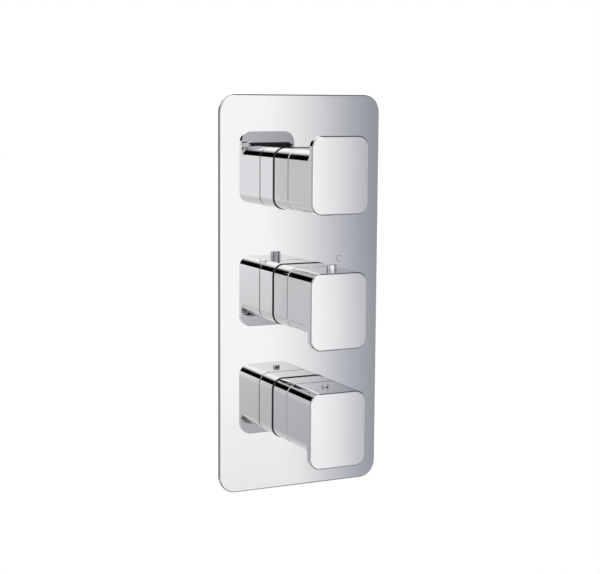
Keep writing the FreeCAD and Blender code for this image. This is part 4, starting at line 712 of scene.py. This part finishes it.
def floor():
    """A plain pale floor that the camera sees as white."""
    material = bpy.data.materials.new("studio_floor")
    material.use_nodes = True
    nodes = Nodes(material.node_tree)
    material.node_tree.nodes.clear()
    seen = nodes.add("ShaderNodeLightPath").outputs["Is Camera Ray"]
    lit = nodes.add("ShaderNodeBsdfDiffuse", Color=(0.8, 0.8, 0.8, 1.0)).outputs[0]
    white = nodes.add("ShaderNodeEmission", Color=(1.0, 1.0, 1.0, 1.0), Strength=1.0).outputs[0]
    shown = nodes.tree.nodes.new("ShaderNodeMixShader")
    for socket, value in zip(shown.inputs, (seen, lit, white)):
        nodes.feed(socket, value)
    nodes.feed(nodes.add("ShaderNodeOutputMaterial").inputs["Surface"], shown.outputs[0])
    half = FLOOR_SIZE / 2
    corners = [(-half, -half, 0), (half, -half, 0), (half, half, 0), (-half, half, 0)]
    sheet = flat_sheet("studio_floor", corners, material)
    sheet.location = (0.0, 0.0, -FLOOR_DEPTH)
    seen_by(sheet, camera=True, diffuse=True)


# The room that chrome sees past the screen, by the direction looked in. Each flag has the
# directions over which it fades in, and how much light it takes.
LEVEL_WAY, AHEAD_WAY = (0.35, 0.6), (-0.24, -0.10)
LEFT_FLAG, LEFT_FLAG_DEPTH = (0.80, 0.95), 0.85
RIGHT_FLAG, RIGHT_FLAG_DEPTH = (0.66, 0.86), 0.85
REAR_FLAG_X, REAR_FLAG_Y, REAR_FLAG_Z = (0.1, 0.3), (-0.6, -0.45), (0.22, 0.36)
REAR_FLAG_DEPTH = 0.96
BEHIND_FLAG_Y, BEHIND_FLAG_DEPTH = (0.1, 0.3), 0.85
BEHIND_FLAG_LEFT, BEHIND_FLAG_RIGHT = (-0.35, -0.2), (0.5, 0.65)
LOW_WAY, LOW_LEVEL = (-0.7, -0.4), 0.35
SOFT_LIGHT = 0.75


def studio_world():
    """White to the camera, soft and even on matt surfaces, and a room with flags to chrome."""
    world = bpy.data.worlds.new("studio")
    world.use_nodes = True
    nodes = Nodes(world.node_tree)
    world.node_tree.nodes.clear()
    way = nodes.split(nodes.add("ShaderNodeTexCoord").outputs["Generated"])
    level_way = nodes.ramp(nodes.math("ABSOLUTE", way["Z"]), *LEVEL_WAY, 1.0, 0.0)
    ahead = nodes.math("MULTIPLY", level_way, nodes.ramp(way["Y"], *AHEAD_WAY, 1.0, 0.0))
    leftwards = nodes.math("MULTIPLY", way["X"], -1.0)
    left = nodes.math("MULTIPLY", nodes.ramp(leftwards, *LEFT_FLAG), ahead)
    right = nodes.math("MULTIPLY", nodes.ramp(way["X"], *RIGHT_FLAG), ahead)
    rear = nodes.math("MULTIPLY", nodes.ramp(way["Y"], *REAR_FLAG_Y),
                      nodes.ramp(way["Z"], *REAR_FLAG_Z))
    rear = nodes.math("MULTIPLY", rear, nodes.ramp(way["X"], *REAR_FLAG_X))
    aside = nodes.math("MAXIMUM", nodes.ramp(way["X"], *BEHIND_FLAG_LEFT, 1.0, 0.0),
                       nodes.ramp(way["X"], *BEHIND_FLAG_RIGHT))
    behind = nodes.math("MULTIPLY", nodes.ramp(way["Y"], *BEHIND_FLAG_Y), aside)
    room = nodes.math("SUBTRACT", 1.0, nodes.math("MULTIPLY", left, LEFT_FLAG_DEPTH))
    for flag, depth in ((right, RIGHT_FLAG_DEPTH), (rear, REAR_FLAG_DEPTH),
                        (behind, BEHIND_FLAG_DEPTH)):
        shade = nodes.math("SUBTRACT", 1.0, nodes.math("MULTIPLY", flag, depth))
        room = nodes.math("MULTIPLY", room, shade)
    room = nodes.math("MULTIPLY", room, nodes.ramp(way["Z"], *LOW_WAY, LOW_LEVEL, 1.0))
    rays = nodes.add("ShaderNodeLightPath").outputs
    level = nodes.mix(rays["Is Glossy Ray"], (SOFT_LIGHT, SOFT_LIGHT, SOFT_LIGHT), room)
    level = nodes.mix(rays["Is Camera Ray"], level, (1.0, 1.0, 1.0))
    background = nodes.add("ShaderNodeBackground", Color=level, Strength=1.0)
    nodes.feed(nodes.add("ShaderNodeOutputWorld").inputs["Surface"], background.outputs[0])
    bpy.context.scene.world = world


def soft_lamp(name, place, size, power):
    """An area lamp aimed at the object, unseen in its chrome."""
    data = bpy.data.lights.new(name, "AREA")
    data.shape = "DISK"
    data.size = size
    data.energy = power
    lamp = bpy.data.objects.new(name, data)
    lamp.location = place
    lamp.rotation_euler = (-Vector(place)).to_track_quat("-Z", "Y").to_euler()
    lamp.visible_glossy = False
    lamp.visible_camera = False
    bpy.context.scene.collection.objects.link(lamp)


def studio_lamps():
    soft_lamp("front_lamp", (-1.0, -1.4, 1.6), 0.9, 14.0)
    soft_lamp("rear_lamp", (1.1, 1.5, 1.3), 1.1, 12.0)


def photo_camera():
    """The camera that took the photograph."""
    ahead = Vector((math.sin(CAMERA_YAW) * math.cos(CAMERA_PITCH),
                    math.cos(CAMERA_YAW) * math.cos(CAMERA_PITCH), -math.sin(CAMERA_PITCH)))
    right = Vector((math.cos(CAMERA_YAW), -math.sin(CAMERA_YAW), 0.0))
    up = right.cross(ahead)
    turn = Matrix.Rotation(CAMERA_ROLL, 3, ahead)
    data = bpy.data.cameras.new("photo_camera")
    data.sensor_width = SENSOR_WIDTH
    data.sensor_fit = "HORIZONTAL"
    data.lens = SENSOR_WIDTH * FOCAL_PIXELS / PHOTO_WIDTH
    data.clip_start = 0.01
    data.shift_x = (PHOTO_WIDTH / 2 - PICTURE_CENTRE[0]) / PHOTO_WIDTH
    data.shift_y = (PICTURE_CENTRE[1] - PHOTO_HEIGHT / 2) / PHOTO_WIDTH
    camera = bpy.data.objects.new("photo_camera", data)
    axes = Matrix((right, up, -ahead)).transposed()
    camera.matrix_world = Matrix.Translation(CAMERA_PLACE) @ (turn @ axes).to_4x4()
    bpy.context.scene.collection.objects.link(camera)
    bpy.context.scene.camera = camera


# ---------------------------------------------------------------------------
# The scene
# ---------------------------------------------------------------------------

FINISHES = build_finishes()
MARK_FINISH = etched_mark("finish_etched_mark")
finish_nodes(FINISHES)
hot_letter(MARK_FINISH)
cold_letter(MARK_FINISH)
add_port_threads(FINISHES["turned_brass"])
add_coils()
for row in ("upper", "temperature", "lower"):
    gasket_lip(f"{row}_gasket_lip", f"{row}_sleeve", FINISHES["joint_rubber"])
screw_plug("lower_screw_plug", "lower_handle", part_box("lower_sleeve")[1].z, 1,
           FINISHES["button_chrome"])
screw_plug("upper_screw_plug", "upper_handle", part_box("upper_sleeve")[0].z, -1,
           FINISHES["button_chrome"])
front_screen()
floor()
studio_world()
studio_lamps()
photo_camera()
bpy.context.scene.view_settings.view_transform = "Standard"
